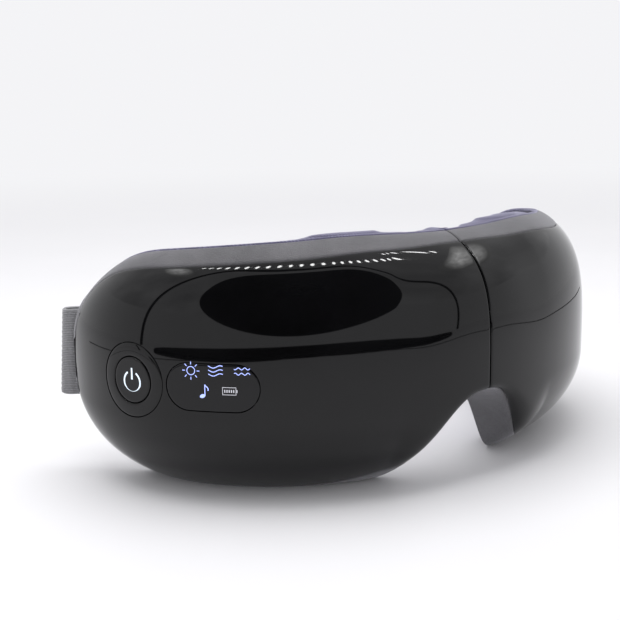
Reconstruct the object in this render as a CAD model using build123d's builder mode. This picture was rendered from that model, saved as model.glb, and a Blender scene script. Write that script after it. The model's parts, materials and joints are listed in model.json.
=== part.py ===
"""Foldable eye massager mask: two mirrored pods joined by a hinge at the nose bridge.

The frame has X across the face, -Y to the front and +Z up. The mask stands on z = 0.
The wearer's right pod is on -X and is called the left pod here, as a viewer in front sees it.

Each pod follows an elliptic outline in plan. A place on it is given by the distance s along
that outline from the fold seam, the depth d inwards from the outline, and the height z.
"""
import os
from math import cos, hypot, radians, sin, tan

from build123d import *

# ---------------------------------------------------------------- driving dimensions, mm
HALF_WIDTH = 102.9            # half of the width across both pods
OUTLINE_DEPTH = 81.7          # the elliptic outline's half axis, front to back
SEAM_HALF_GAP = 0.2           # each pod stands this far from the fold plane
POD_HEIGHT = 90.0             # nominal height of the outer surface, before the base is flattened
BASE_TRIM = 3.0               # how much the base is flattened
NOSE_ARCH = 32.8              # height of the nose arch above the nominal base
NOSE_ARCH_REACH = 35.5        # distance from the seam at which the arch meets the base
THICKNESS_SEAM = 34.9         # front to back of a pod at the seam
THICKNESS_SIDE = 30.5         # and further round
CLOSE_HEIGHT = 55.6           # height towards which the temple end closes
CLOSE_START = 116.5           # where the top edge starts to come down
CLOSE_END = 163.9             # where it would meet the bottom edge
SHELL_END = 159.0             # the shell stops here
RIM_END = 162.0               # the leather rim ends the pod here
PAD_END = 149.0               # the eye pad stops short of the strap

SHELL_WALL = 2.2
LEATHER = 2.4
EDGE_GAP = 0.2                # groove between the shell's edge and the leather
FRAME_INSET = 3.0             # the frame lies this far inside the pod's surface
FRAME_WALL = 1.6
SHELL_EDGE_TOP = 20.2         # distance of the shell's top edge from the pod's back
SHELL_EDGE_BOTTOM = 11.0
RIM_EDGE_TOP = 12.8           # distance of the leather's rear edge from the pod's back
RIM_EDGE_BOTTOM = 5.5
EDGE_BLEND = 64.0             # the bottom edges reach those distances this far from the seam
TEMPLE_BLEND = 140.0          # beyond here the bottom edges draw level with the top ones
FRAME_STEP = 4.0              # the frame's plate stands this far in front of the shell's edge

HINGE_Y = 25.5
HINGE_LOW = 43.0
HINGE_HIGH = 75.0
KNUCKLE_RADIUS = 3.0
PIN_RADIUS = 1.25
HINGE_CLEARANCE = 0.05
FOLD_HALF_ANGLE = 49.0        # half of the fold's range and a little more, for room behind the hinge
NOSE_BEVEL = 11.0             # how far the pads' back stands off the nose arch

BUTTON_S = 123.3              # power button, on the left pod
CONTROL_Z = 39.6
BUTTON_RADIUS = 7.45
BUTTON_RING_RADIUS = 12.1
WINDOW_S = 94.6               # display window, on the left pod
WINDOW_LENGTH = 30.4
WINDOW_HEIGHT = 15.2

EYE_S = 45.0                  # middle of the eye dish
EYE_Z = 43.0
STRAP_LOW = 25.7              # lower edge of the strap
STRAP_WIDTH = 30.0
STRAP_RANGE = (STRAP_LOW, STRAP_LOW + STRAP_WIDTH)
STRAP_BAR = (152.5, 9.0)      # s and depth of the bar the strap is looped round
BAR_RADIUS = 1.5

# Inner pieces; each s is a place along the outline.
MOTOR_S = 77.0                # vibration motor, one in each pod
MOTOR_BACK = 13.6
MOTOR_RADIUS = 2.9
SPEAKER_S = 137.0
BATTERY_S = 98.0
PUMP = (56.0, 6.9)            # s and depth of the pump motor's shaft
VALVE = (70.0, 6.4)           # s and depth of the valve's plunger
PORT_S = 126.0                # charging socket
PORT_Z = 24.0
SCREW_RADIUS = 1.0
SCREW_HEAD_RADIUS = 1.9
BOSS_RADIUS = 2.5
SCREW_HOLE = SCREW_RADIUS + 0.1

MIDDLE_DEPTH = 54.65          # the model is moved forwards by this, so that its middle is at y = 0


SIDES = (("left", -1), ("right", 1))

os.makedirs("parts", exist_ok=True)


# ---------------------------------------------------------------- the pod's surface
def smooth(t):
    """Smooth step from 0 to 1."""
    t = min(max(t, 0.0), 1.0)
    return t * t * (3.0 - 2.0 * t)


def outline(s):
    """Point of the plan outline at distance s from the seam, and the inward direction there."""
    step = 0.005
    angle = 0.0
    length = 0.0
    while length < s:
        angle += step
        length += step * hypot(HALF_WIDTH * cos(angle - step / 2), OUTLINE_DEPTH * sin(angle - step / 2))
    speed = hypot(HALF_WIDTH * cos(angle), OUTLINE_DEPTH * sin(angle))
    angle -= (length - s) / speed
    tangent_x = HALF_WIDTH * cos(angle)
    tangent_y = OUTLINE_DEPTH * sin(angle)
    speed = hypot(tangent_x, tangent_y)
    x = HALF_WIDTH * sin(angle)
    y = OUTLINE_DEPTH * (1.0 - cos(angle))
    return x, y, -tangent_y / speed, tangent_x / speed


def arch(s):
    """Height of the nose arch at s, as a share of its height at the seam."""
    u = min(max(s / NOSE_ARCH_REACH, 0.0), 1.0)
    return (1.0 - u ** 2.44) ** 2.73


def pod_size(s):
    """Lowest, highest and foremost heights and the thickness of the pod's section at s."""
    u = min(max((s - CLOSE_START) / (CLOSE_END - CLOSE_START), 0.0), 1.0)
    top_close = (1.0 - u ** 3.16) ** (1 / 3.16)
    u = min(max((s - 119.4) / (CLOSE_END - 119.4), 0.0), 1.0)
    bottom_close = (1.0 - u ** 4) ** 0.25
    low = NOSE_ARCH * arch(s)
    high = POD_HEIGHT - 2.9 * (1.0 - smooth(s / 55.0)) - 3.5 * (s / 101.0) ** 2
    thickness = THICKNESS_SEAM + (THICKNESS_SIDE - THICKNESS_SEAM) * smooth(s / 70.5)
    near_seam = 1.0 - smooth(s / NOSE_ARCH_REACH)
    high = CLOSE_HEIGHT + (high - CLOSE_HEIGHT) * top_close
    low = CLOSE_HEIGHT + (low - CLOSE_HEIGHT) * bottom_close
    mid = low + (0.378 - 0.255 * near_seam) * (high - low)
    thickness *= 0.161 + 0.839 * top_close
    return low, high, mid, thickness, near_seam


def surface_point(s, lean, inset):
    """Depth and height of the surface at s, for lean from -1 (bottom) through 0 (front) to 1 (top)."""
    low, high, mid, thickness, near_seam = pod_size(s)
    angle = radians(90.0 * lean)
    across = abs(cos(angle))
    upward = abs(sin(angle))
    reach = thickness - inset
    if lean >= 0:
        depth = inset + reach * (1.0 - across ** (2 / 1.883))
        height = mid + (high - inset - mid) * upward ** (2 / 3.868)
    else:
        depth = inset + reach * (1.0 - across ** (2 / 1.402))
        squareness = 2.057 + 6.943 * near_seam
        height = mid - (mid - low - inset) * upward ** (2 / squareness)
        if inset > 0:
            height = max(height, BASE_TRIM + inset)
    return depth, height - BASE_TRIM


def lean_at(s, depth, inset, top):
    """The lean at which the surface is at this depth, on the top or the bottom side."""
    first = 0.0
    last = 1.0 if top else -1.0
    for _ in range(30):
        middle = (first + last) / 2
        if surface_point(s, middle, inset)[0] < depth:
            first = middle
        else:
            last = middle
    return (first + last) / 2


def edge_distance(s, at_seam, at_bottom, at_temple):
    """Distance of a bottom edge from the back, blended at the seam and at the temple end."""
    usual = at_bottom + (at_temple - at_bottom) * smooth((s - TEMPLE_BLEND) / (RIM_END - 4.0 - TEMPLE_BLEND))
    return usual + (at_seam - usual) * (1.0 - smooth(s / EDGE_BLEND))


def shell_edges(s, ahead=0.0):
    """Depths of the shell's top and bottom edges at s, or of a line ahead of them."""
    thickness = pod_size(s)[3]
    bottom = edge_distance(s, thickness - 1.5, SHELL_EDGE_BOTTOM, SHELL_EDGE_TOP)
    return thickness - SHELL_EDGE_TOP - ahead, thickness - bottom - ahead


def rim_edges(s, ahead=0.0):
    """Depths of the leather rim's rear edges, top and bottom, at s."""
    thickness = pod_size(s)[3]
    bottom = edge_distance(s, RIM_EDGE_TOP, RIM_EDGE_BOTTOM, RIM_EDGE_TOP)
    return thickness - RIM_EDGE_TOP - ahead, thickness - bottom - ahead


def section_plane(side, s):
    """Plane across the pod at s: local x runs inwards from the outline and local y is up."""
    x, y, inward_x, inward_y = outline(s)
    inward = Vector(side * inward_x, inward_y, 0)
    return Plane(origin=(side * x, y, 0), x_dir=inward, z_dir=(inward.Y, -inward.X, 0))


def facing_plane(side, s, depth, z):
    """Plane along the pod at s: local x is level, local y is up and local z points outwards."""
    x, y, inward_x, inward_y = outline(s)
    outward = Vector(-side * inward_x, -inward_y, 0)
    place = (side * (x + inward_x * depth), y + inward_y * depth, z)
    return Plane(origin=place, x_dir=(-outward.Y, outward.X, 0), z_dir=outward)


def front_profile(s, inset, behind=0.0):
    """Points of the section from the shell's bottom edge, round the front, to its top edge."""
    top_depth, bottom_depth = shell_edges(s, -behind)
    first = lean_at(s, max(bottom_depth, inset + 0.4), inset, False)
    last = lean_at(s, max(top_depth, inset + 0.4), inset, True)
    count = 18
    return [surface_point(s, first + (last - first) * i / count, inset) for i in range(count + 1)]


def ring_profile(s, inset, front, rear, steps):
    """Points of the section between two lines across the pod, each given by two depths."""
    front_top, front_bottom = [max(depth, inset + 0.3) for depth in front]
    rear_top, rear_bottom = [max(depth, inset + 1.2) for depth in rear]
    points = []
    for i in range(steps + 1):
        depth = front_bottom + (rear_bottom - front_bottom) * i / steps
        points.append((depth, surface_point(s, lean_at(s, depth, inset, False), inset)[1]))
    for i in range(steps + 1):
        depth = rear_top + (front_top - rear_top) * i / steps
        points.append((depth, surface_point(s, lean_at(s, depth, inset, True), inset)[1]))
    return points


def spread(first, last):
    """Stations from first to last, close together at the nose arch and at the temple end."""
    marks = [4, 8, 12, 16, 20, 24, 28, 32, 37, 44, 54, 66, 80, 95, 110, 120, 129, 137, 144, 150, 154.5, 157.5]
    return [first] + [mark for mark in marks if first + 1.5 < mark < last - 1.0] + [last]


def curved_block(side, s_range, back_range, z_range):
    """Plan outline of a block that follows the pod, between two distances from its back."""
    count = 8
    near = []
    far = []
    for i in range(count + 1):
        s = s_range[0] + (s_range[1] - s_range[0]) * i / count
        x, y, inward_x, inward_y = outline(s)
        thickness = pod_size(s)[3]
        for distance, row in ((back_range[0], near), (back_range[1], far)):
            depth = thickness - distance
            row.append((side * (x + inward_x * depth), y + inward_y * depth))
    with BuildPart() as block:
        with BuildSketch(Plane.XY.offset(z_range[0])):
            with BuildLine():
                Spline(*near)
                Line(near[-1], far[-1])
                Spline(*far)
                Line(far[0], near[0])
            make_face()
        extrude(amount=z_range[1] - z_range[0])
    return block.part


def save(part, name):
    """Move a finished piece to the shared origin, label it and write it."""
    piece = part.moved(Location((0, -MIDDLE_DEPTH, 0)))
    piece.label = name
    export_step(piece, f"parts/{name}.step")


# ---------------------------------------------------------------- shells, rims, frames, pads
def shell_blank(side):
    """The glossy front shell before its control openings are cut."""
    with BuildPart() as blank:
        for s in spread(SEAM_HALF_GAP, SHELL_END):
            points = front_profile(s, 0.0)
            with BuildSketch(section_plane(side, s)):
                with BuildLine():
                    Spline(*points)
                    Line(points[-1], points[0])
                make_face()
        loft()
        with BuildPart(mode=Mode.PRIVATE) as hollow:
            for s in spread(SEAM_HALF_GAP + SHELL_WALL, 154.0):
                points = front_profile(s, SHELL_WALL, behind=1.0)
                with BuildSketch(section_plane(side, s)):
                    with BuildLine():
                        Spline(*points)
                        Line(points[-1], points[0])
                    make_face()
            loft()
        add(hollow.part, mode=Mode.SUBTRACT)
    return blank.part


def ring_loft(side, stations, inset, front, rear):
    """Solid between two lines across the pod, inset from its surface."""
    steps = 1 if inset > 0 else 3
    with BuildPart() as ring:
        for s in stations:
            with BuildSketch(section_plane(side, s)):
                with BuildLine():
                    Polyline(*ring_profile(s, inset, front(s), rear(s), steps), close=True)
                make_face()
        loft()
    return ring.part


def leather_band(side, stations, top):
    """Long strip of leather on the top or on the bottom of the pod."""
    steps = 3
    edge = 0 if top else 1
    drop = -LEATHER if top else LEATHER
    with BuildPart() as band:
        for s in stations:
            front = max(shell_edges(s, -EDGE_GAP)[edge], 0.3)
            rear = max(rim_edges(s)[edge], 1.2)
            skin = []
            for i in range(steps + 1):
                depth = front + (rear - front) * i / steps
                skin.append((depth, surface_point(s, lean_at(s, depth, 0.0, top), 0.0)[1]))
            lining = [(max(depth, front + 0.9), z + drop) for depth, z in reversed(skin)]
            with BuildSketch(section_plane(side, s)):
                with BuildLine():
                    Polyline(*(skin + lining), close=True)
                make_face()
        loft()
    return band.part


def leather_rim(side, strap_slot):
    """Leather band round the pod, with a wall at the nose and a slotted one at the temple end."""
    nose_wall = (SEAM_HALF_GAP, SEAM_HALF_GAP + LEATHER)
    temple_wall = (RIM_END - LEATHER, RIM_END)
    stations = spread(nose_wall[1], temple_wall[0])
    with BuildPart() as rim:
        for wall in (nose_wall, temple_wall):
            add(ring_loft(side, wall, 0.0, lambda s: shell_edges(s, -EDGE_GAP), rim_edges))
        add(leather_band(side, stations, True))
        add(leather_band(side, stations, False))
        add(strap_slot, mode=Mode.SUBTRACT)
        split(bisect_by=Plane.XY, keep=Keep.TOP)
    return rim.part


def frame_outside(side):
    """Outer form of the rear frame, which fills the rim and reaches a little into the shell."""
    stations = spread(SEAM_HALF_GAP + FRAME_INSET, 158.5)
    return ring_loft(side, stations, FRAME_INSET, lambda s: shell_edges(s, FRAME_STEP), rim_edges)


def plate_depth(s, z):
    """Depth of the front of the frame's plate at s and height z."""
    corners = ring_profile(s, FRAME_INSET, shell_edges(s, FRAME_STEP), rim_edges(s), 1)
    bottom_depth, low = corners[0]
    top_depth, high = corners[-1]
    return bottom_depth + (top_depth - bottom_depth) * (z - low) / (high - low)


def upright_cylinder(side, place, radius, z_range):
    """Vertical cylinder at a place on the pod, given by s and depth."""
    plane = facing_plane(side, place[0], place[1], 0)
    with BuildPart() as cylinder:
        with BuildSketch(Plane.XY.offset(z_range[0])):
            with Locations((plane.origin.X, plane.origin.Y)):
                Circle(radius)
        extrude(amount=z_range[1] - z_range[0])
    return cylinder.part


def facing_block(side, place, size):
    """Block across the pod's depth: place is s, first depth and height, size is length, height, depth."""
    with BuildPart() as block:
        with BuildSketch(facing_plane(side, place[0], place[1], place[2])):
            Rectangle(size[0], size[1])
        extrude(amount=-size[2])
    return block.part


def facing_cylinder(side, place, radius, depth):
    """Cylinder across the pod's depth: place is s, first depth and height."""
    with BuildPart() as cylinder:
        with BuildSketch(facing_plane(side, place[0], place[1], place[2])):
            Circle(radius)
        extrude(amount=-depth)
    return cylinder.part


def surface_depth(s, z):
    """Depth of the shell's outer face at s and height z, near the front."""
    upper = z > pod_size(s)[2] - BASE_TRIM
    first = 0.0
    last = 1.0
    for _ in range(30):
        middle = (first + last) / 2
        height = surface_point(s, middle if upper else -middle, 0.0)[1]
        if (height < z) == upper:
            first = middle
        else:
            last = middle
    return surface_point(s, first if upper else -first, 0.0)[0]


SCREWS = [(s, plate_depth(s, z), z) for s, z in ((24, 58), (67, 54), (118, 54), (70, 17), (116, 18))]


def strap_path(side):
    """Centre line of the strap in plan, from its bar, out of the temple end and back inwards."""
    knots = [
        (93.6, 89.9), (93.6, 94.6), (94.6, 99.2), (97.0, 101.9), (99.6, 103.4), (100.9, 105.6),
        (99.8, 108.0), (96.8, 108.0), (91.8, 104.4), (83.5, 97.6), (75.6, 89.6), (70.2, 81.5),
        (66.6, 73.5), (62.0, 66.0),
    ]
    with BuildLine() as path:
        Spline(*[(side * x, y) for x, y in knots])
    return path.line


def ribbon(path, t_range, offsets, z_range):
    """Strip that follows the path between two offsets from it, in plan."""
    count = 40
    first = []
    second = []
    for i in range(count + 1):
        t = t_range[0] + (t_range[1] - t_range[0]) * i / count
        place = path @ t
        along = path % t
        first.append((place.X - along.Y * offsets[0], place.Y + along.X * offsets[0]))
        second.append((place.X - along.Y * offsets[1], place.Y + along.X * offsets[1]))
    with BuildPart() as strip:
        with BuildSketch(Plane.XY.offset(z_range[0])):
            with BuildLine():
                Spline(*first)
                Line(first[-1], second[-1])
                Spline(*second)
                Line(second[0], first[0])
            make_face()
        extrude(amount=z_range[1] - z_range[0])
    return strip.part


def pad_profile(s):
    """Section of the eye pad at s."""
    low, high, _, thickness, _ = pod_size(s)
    top_depth, bottom_depth = rim_edges(s, -0.35)
    bottom = surface_point(s, lean_at(s, bottom_depth, 0.0, False), 0.0)[1]
    top = surface_point(s, lean_at(s, top_depth, 0.0, True), 0.0)[1]
    back_low = max(NOSE_ARCH * arch(max(s - NOSE_BEVEL, 0.0)), low) - BASE_TRIM
    return [
        (bottom_depth, max(bottom, 0.0) + 0.5),
        (top_depth, top - 0.6),
        (thickness - 3.5, high - BASE_TRIM - 0.8),
        (thickness, high - BASE_TRIM - 6.0),
        (thickness, max(back_low, 0.0) + 7.0),
        (thickness - 2.0, max(back_low, 0.0) + 1.6),
    ]


button_plane = facing_plane(-1, BUTTON_S, 0, CONTROL_Z)
window_plane = facing_plane(-1, WINDOW_S, 0, CONTROL_Z)

for side_name, side in SIDES:
    blank = shell_blank(side)
    frame_body = frame_outside(side)
    path = strap_path(side)

    # Front shell: a thin closed dome with screw bosses; the left one has the control openings.
    with BuildPart() as front_shell:
        for s, depth, z in SCREWS:
            start = surface_depth(s, z) + 1.2
            add(facing_cylinder(side, (s, start, z), BOSS_RADIUS, depth + 2.0 - start))
        add(blank)
        add(frame_body, mode=Mode.SUBTRACT)
        for s, depth, z in SCREWS:
            add(facing_cylinder(side, (s, depth - 5.0, z), SCREW_RADIUS, 8.0), mode=Mode.SUBTRACT)
        if side_name == "left":
            with BuildSketch(button_plane):
                Circle(BUTTON_RING_RADIUS + 0.15)
            with BuildSketch(window_plane):
                SlotOverall(WINDOW_LENGTH + 0.3, WINDOW_HEIGHT + 0.3)
            extrude(amount=7, both=True, mode=Mode.SUBTRACT)
        else:
            with BuildSketch(facing_plane(side, PORT_S, 0, PORT_Z)):
                SlotOverall(9.6, 3.8)
            extrude(amount=6, both=True, mode=Mode.SUBTRACT)
    save(front_shell.part, f"front_shell_{side_name}")

    strap_slot = ribbon(path, (0.0, 0.22), (-1.4, 1.4), (STRAP_LOW - 0.5, STRAP_LOW + STRAP_WIDTH + 0.5))
    save(leather_rim(side, strap_slot), f"leather_rim_{side_name}")

    # Rear frame: a tray with a plate in front, a hinge block, strap lugs and a motor cradle.
    with BuildPart() as rear_frame:
        add(frame_body)
        tray = ring_loft(
            side,
            spread(SEAM_HALF_GAP + FRAME_INSET + FRAME_WALL, 156.8),
            FRAME_INSET + FRAME_WALL,
            lambda s: shell_edges(s, FRAME_STEP - 1.8),
            lambda s: rim_edges(s, -1.5),
        )
        add(tray, mode=Mode.SUBTRACT)
        with BuildPart(mode=Mode.PRIVATE) as solid_parts:
            with BuildSketch(Plane.XY.offset(HINGE_LOW + 1)):
                with Locations((side * 9.5, 15)):
                    Rectangle(14, 14)
            extrude(amount=HINGE_HIGH - HINGE_LOW - 2)
            for z in (STRAP_RANGE[0] - 2.6, STRAP_RANGE[1] + 2.6):
                add(facing_block(side, (STRAP_BAR[0], 3.0, z), (8.0, 4.2, 10.0)))
            add(facing_block(side, (MOTOR_S, 31 - MOTOR_BACK - 6, 41), (8.0, 8.0, 5.0)))
            add(frame_body, mode=Mode.INTERSECT)
        add(solid_parts.part)
        add(upright_cylinder(side, STRAP_BAR, BAR_RADIUS, (20, 64)), mode=Mode.SUBTRACT)
        add(strap_slot, mode=Mode.SUBTRACT)
        room = (STRAP_RANGE[0] - 0.5, STRAP_RANGE[1] + 0.5)
        add(upright_cylinder(side, STRAP_BAR, 3.4, room), mode=Mode.SUBTRACT)
        motor_place = (MOTOR_S, pod_size(MOTOR_S)[3] - MOTOR_BACK)
        add(upright_cylinder(side, motor_place, MOTOR_RADIUS, (33, 53)), mode=Mode.SUBTRACT)
        for s, depth, z in SCREWS:
            add(facing_cylinder(side, (s, depth - 3, z), SCREW_HOLE, 9.0), mode=Mode.SUBTRACT)
            add(facing_cylinder(side, (s, depth + 1.9, z), SCREW_HEAD_RADIUS + 0.2, 3.0), mode=Mode.SUBTRACT)
        for z in (HINGE_LOW + 4, HINGE_HIGH - 4):
            with BuildSketch(Plane.XZ.offset(-23)):
                with Locations((side * 11, z)):
                    Circle(SCREW_RADIUS)
            extrude(amount=7, mode=Mode.SUBTRACT)
    save(rear_frame.part, f"rear_frame_{side_name}")

    # Screws of the shell and of the hinge leaf.
    with BuildPart() as screws:
        for s, depth, z in SCREWS:
            add(facing_cylinder(side, (s, depth - 4.8, z), SCREW_RADIUS, 7.0))
            add(facing_cylinder(side, (s, depth + 1.95, z), SCREW_HEAD_RADIUS, 1.2))
    save(screws.part, f"shell_screws_{side_name}")
    with BuildPart() as hinge_screws:
        for z in (HINGE_LOW + 4, HINGE_HIGH - 4):
            with BuildSketch(Plane.XZ.offset(-24)):
                with Locations((side * 11, z)):
                    Circle(SCREW_RADIUS)
            extrude(amount=7.5)
            with BuildSketch(Plane.XZ.offset(-24.7)):
                with Locations((side * 11, z)):
                    Circle(SCREW_HEAD_RADIUS)
            extrude(amount=0.9)
    save(hinge_screws.part, f"hinge_screws_{side_name}")

    # Eye pad: a soft ring with a thin dished membrane in front of the eye.
    with BuildPart() as eye_pad:
        for s in spread(3.4, PAD_END):
            with BuildSketch(section_plane(side, s)):
                with BuildLine():
                    Polyline(*pad_profile(s), close=True)
                make_face()
        loft()
        split(bisect_by=Plane.XY, keep=Keep.TOP)
        add(frame_body, mode=Mode.SUBTRACT)
        with BuildSketch(Plane.XY):
            with BuildLine():
                slope = tan(radians(FOLD_HALF_ANGLE))
                Polyline(
                    (-side, 18), (side * 3.6, 18), (side * 3.6, 22), (side * (3.6 + 20 * slope), 42), (-side, 42),
                    close=True,
                )
            make_face()
        extrude(amount=POD_HEIGHT, mode=Mode.SUBTRACT)
        with BuildSketch(Plane.XY.offset(HINGE_LOW - 1)):
            with Locations((side * 9, 22)):
                Rectangle(18, 6.0)
        extrude(amount=HINGE_HIGH - HINGE_LOW + 2, mode=Mode.SUBTRACT)
        add(curved_block(side, (28, 64), (20, 8), (EYE_Z - 15, EYE_Z + 16)), mode=Mode.SUBTRACT)
        with BuildPart(mode=Mode.PRIVATE) as dish:
            with BuildSketch(facing_plane(side, EYE_S, 20, EYE_Z)):
                Ellipse(23, 15)
            extrude(amount=-26)
            add(curved_block(side, (15, 75), (5.5, -10), (0, POD_HEIGHT)), mode=Mode.INTERSECT)
        add(dish.part, mode=Mode.SUBTRACT)
    save(eye_pad.part, f"eye_pad_{side_name}")

    # Massage unit: air bag, sliding plate and the heating film on it.
    save(curved_block(side, (30, 62), (16.2, 13.6), (EYE_Z - 12, EYE_Z + 15)), f"air_bag_{side_name}")
    save(curved_block(side, (31, 61), (13.4, 10.6), (EYE_Z - 11, EYE_Z + 14)), f"massage_plate_{side_name}")
    save(curved_block(side, (33, 59), (10.6, 10.3), (EYE_Z - 9, EYE_Z + 12)), f"heating_film_{side_name}")

    # Vibration motor with a half-round weight on its shaft.
    with BuildPart() as vibration_motor:
        add(upright_cylinder(side, motor_place, MOTOR_RADIUS, (34, 47)))
        add(upright_cylinder(side, motor_place, 0.5, (47, 52)))
    save(vibration_motor.part, f"vibration_motor_{side_name}")
    with BuildPart() as weight:
        add(upright_cylinder(side, motor_place, 2.6, (47.5, 51.5)))
        corner = facing_plane(side, motor_place[0], motor_place[1], 0).origin
        with BuildSketch(Plane.XY.offset(47)):
            with Locations((corner.X, corner.Y - 2.1)):
                Rectangle(8, 3)
        extrude(amount=6, mode=Mode.SUBTRACT)
        add(upright_cylinder(side, motor_place, 0.55, (47, 52)), mode=Mode.SUBTRACT)
    save(weight.part, f"vibration_weight_{side_name}")

    # Speaker, strap bar, strap and its patch.
    with BuildPart() as speaker:
        speaker_depth = pod_size(SPEAKER_S)[3] - 16.2
        add(facing_cylinder(side, (SPEAKER_S, speaker_depth, 37), 5.5, 2.8))
        add(facing_cylinder(side, (SPEAKER_S, speaker_depth + 2.4, 37), 7.5, 1.6))
    save(speaker.part, f"speaker_{side_name}")
    save(upright_cylinder(side, STRAP_BAR, BAR_RADIUS, (21.2, 60.2)), f"strap_bar_{side_name}")
    with BuildPart() as strap:
        add(upright_cylinder(side, STRAP_BAR, 2.95, STRAP_RANGE))
        add(ribbon(path, (0.0, 1.0), (-0.9, 0.9), STRAP_RANGE))
        add(upright_cylinder(side, STRAP_BAR, BAR_RADIUS + 0.05, STRAP_RANGE), mode=Mode.SUBTRACT)
    save(strap.part, f"strap_{side_name}")
    patch_name = "hook_patch" if side_name == "left" else "loop_patch"
    patch_range = (STRAP_RANGE[0] + 3, STRAP_RANGE[1] - 3)
    save(ribbon(path, (0.70, 0.97), (side * 0.95, side * 1.95), patch_range), patch_name)

# ---------------------------------------------------------------- controls, on the left pod
left_blank = shell_blank(-1)

with BuildPart() as power_button_ring:
    add(left_blank)
    with BuildSketch(button_plane):
        Circle(BUTTON_RING_RADIUS)
        Circle(BUTTON_RADIUS + 0.2, mode=Mode.SUBTRACT)
    extrude(amount=7, both=True, mode=Mode.INTERSECT)
    with BuildSketch(facing_plane(-1, BUTTON_S, 4.0, CONTROL_Z)):
        Circle(BUTTON_RING_RADIUS - 1.2)
        Circle(BUTTON_RADIUS + 0.2, mode=Mode.SUBTRACT)
    extrude(amount=2.4)
save(power_button_ring.part, "power_button_ring")

with BuildPart() as power_button:
    add(left_blank)
    with BuildSketch(button_plane):
        Circle(BUTTON_RADIUS)
    extrude(amount=7, both=True, mode=Mode.INTERSECT)
    add(facing_cylinder(-1, (BUTTON_S, 1.6, CONTROL_Z), 2.0, 4.0))
save(power_button.part, "power_button")

save(facing_block(-1, (BUTTON_S, 6.1, CONTROL_Z), (6, 6, 1.4)), "tact_switch")
save(facing_block(-1, (BUTTON_S, 7.5, CONTROL_Z), (16, 16, 1.0)), "button_board")

with BuildPart() as display_window:
    add(left_blank)
    with BuildSketch(window_plane):
        SlotOverall(WINDOW_LENGTH, WINDOW_HEIGHT)
    extrude(amount=7, both=True, mode=Mode.INTERSECT)
save(display_window.part, "display_window")

with BuildPart() as light_guide:
    with BuildSketch(facing_plane(-1, WINDOW_S, 3.8, CONTROL_Z)):
        SlotOverall(WINDOW_LENGTH - 3, WINDOW_HEIGHT - 3)
    extrude(amount=-2.4)
save(light_guide.part, "light_guide")

save(facing_block(-1, (WINDOW_S, 6.3, CONTROL_Z), (38, 28, 1.2)), "main_circuit_board")

# ---------------------------------------------------------------- power and air, in the right pod
with BuildPart() as battery:
    add(facing_block(1, (BATTERY_S, 4.9, 36), (38, 20, 4.1)))
    fillet(battery.edges().filter_by(Axis.Z), radius=1.5)
save(battery.part, "battery")

save(upright_cylinder(1, PUMP, 3.6, (24, 37)), "pump_motor")
with BuildPart() as pump_crank:
    add(upright_cylinder(1, PUMP, 3.2, (37.5, 39.0)))
    add(upright_cylinder(1, (PUMP[0] + 1.2, PUMP[1]), 1.0, (39.0, 40.6)))
save(pump_crank.part, "pump_crank")
with BuildPart() as pump_head:
    add(facing_block(1, (PUMP[0], 3.3, 47), (12, 12, 5.1)))
    add(facing_block(1, (PUMP[0], 4.3, 42), (6.4, 4, 4.6)), mode=Mode.SUBTRACT)
    add(upright_cylinder(1, (PUMP[0], 6.6), 1.5, (53, 57)))
save(pump_head.part, "pump_head")

with BuildPart() as valve_body:
    add(upright_cylinder(1, VALVE, 3.2, (30, 42)))
    add(upright_cylinder(1, VALVE, 1.25, (35, 43)), mode=Mode.SUBTRACT)
save(valve_body.part, "valve_body")
with BuildPart() as valve_plunger:
    add(upright_cylinder(1, VALVE, 1.2, (36, 44)))
    add(upright_cylinder(1, VALVE, 2.2, (43.6, 45)))
save(valve_plunger.part, "valve_plunger")

with BuildPart() as charge_port:
    with BuildSketch(facing_plane(1, PORT_S, 2.8, PORT_Z)):
        SlotOverall(9.0, 3.2)
        SlotOverall(8.4, 2.6, mode=Mode.SUBTRACT)
    extrude(amount=-7.3)
    add(facing_block(1, (PORT_S, 4.4, PORT_Z), (6.6, 0.7, 5.0)))
    with BuildSketch(facing_plane(1, PORT_S, 9.3, PORT_Z)):
        SlotOverall(9.0, 3.2)
    extrude(amount=-0.8)
save(charge_port.part, "charge_port")
save(facing_block(1, (PORT_S, 4.0, PORT_Z - 2.2), (16, 1.0, 7.0)), "charge_board")

# ---------------------------------------------------------------- fold hinge
KNUCKLES = {"left": ((HINGE_LOW, 51.0), (67.0, HINGE_HIGH)), "right": ((51.3, 66.7),)}
for side_name, side in SIDES:
    bore = PIN_RADIUS if side_name == "left" else PIN_RADIUS + HINGE_CLEARANCE
    with BuildPart() as hinge_leaf:
        with BuildSketch(Plane.XY.offset(HINGE_LOW)):
            with Locations((side * 9.8, 23.0)):
                Rectangle(12.0, 1.4)
        extrude(amount=HINGE_HIGH - HINGE_LOW)
        for low, high in KNUCKLES[side_name]:
            with BuildSketch(Plane.XY.offset(low)):
                with Locations((0, HINGE_Y)):
                    Circle(KNUCKLE_RADIUS)
                with Locations((side * 2.5, 23.25)):
                    Rectangle(5.0, 0.9)
                with Locations((side * 3.0, 23.0)):
                    Rectangle(3.0, 1.4)
            extrude(amount=high - low)
        with BuildSketch(Plane.XY.offset(HINGE_LOW)):
            with Locations((0, HINGE_Y)):
                Circle(bore)
        extrude(amount=HINGE_HIGH - HINGE_LOW, mode=Mode.SUBTRACT)
        for z in (HINGE_LOW + 4, HINGE_HIGH - 4):
            with BuildSketch(Plane.XZ.offset(-26)):
                with Locations((side * 11, z)):
                    Circle(SCREW_HOLE)
            extrude(amount=5, mode=Mode.SUBTRACT)
    save(hinge_leaf.part, f"hinge_leaf_{side_name}")

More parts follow.
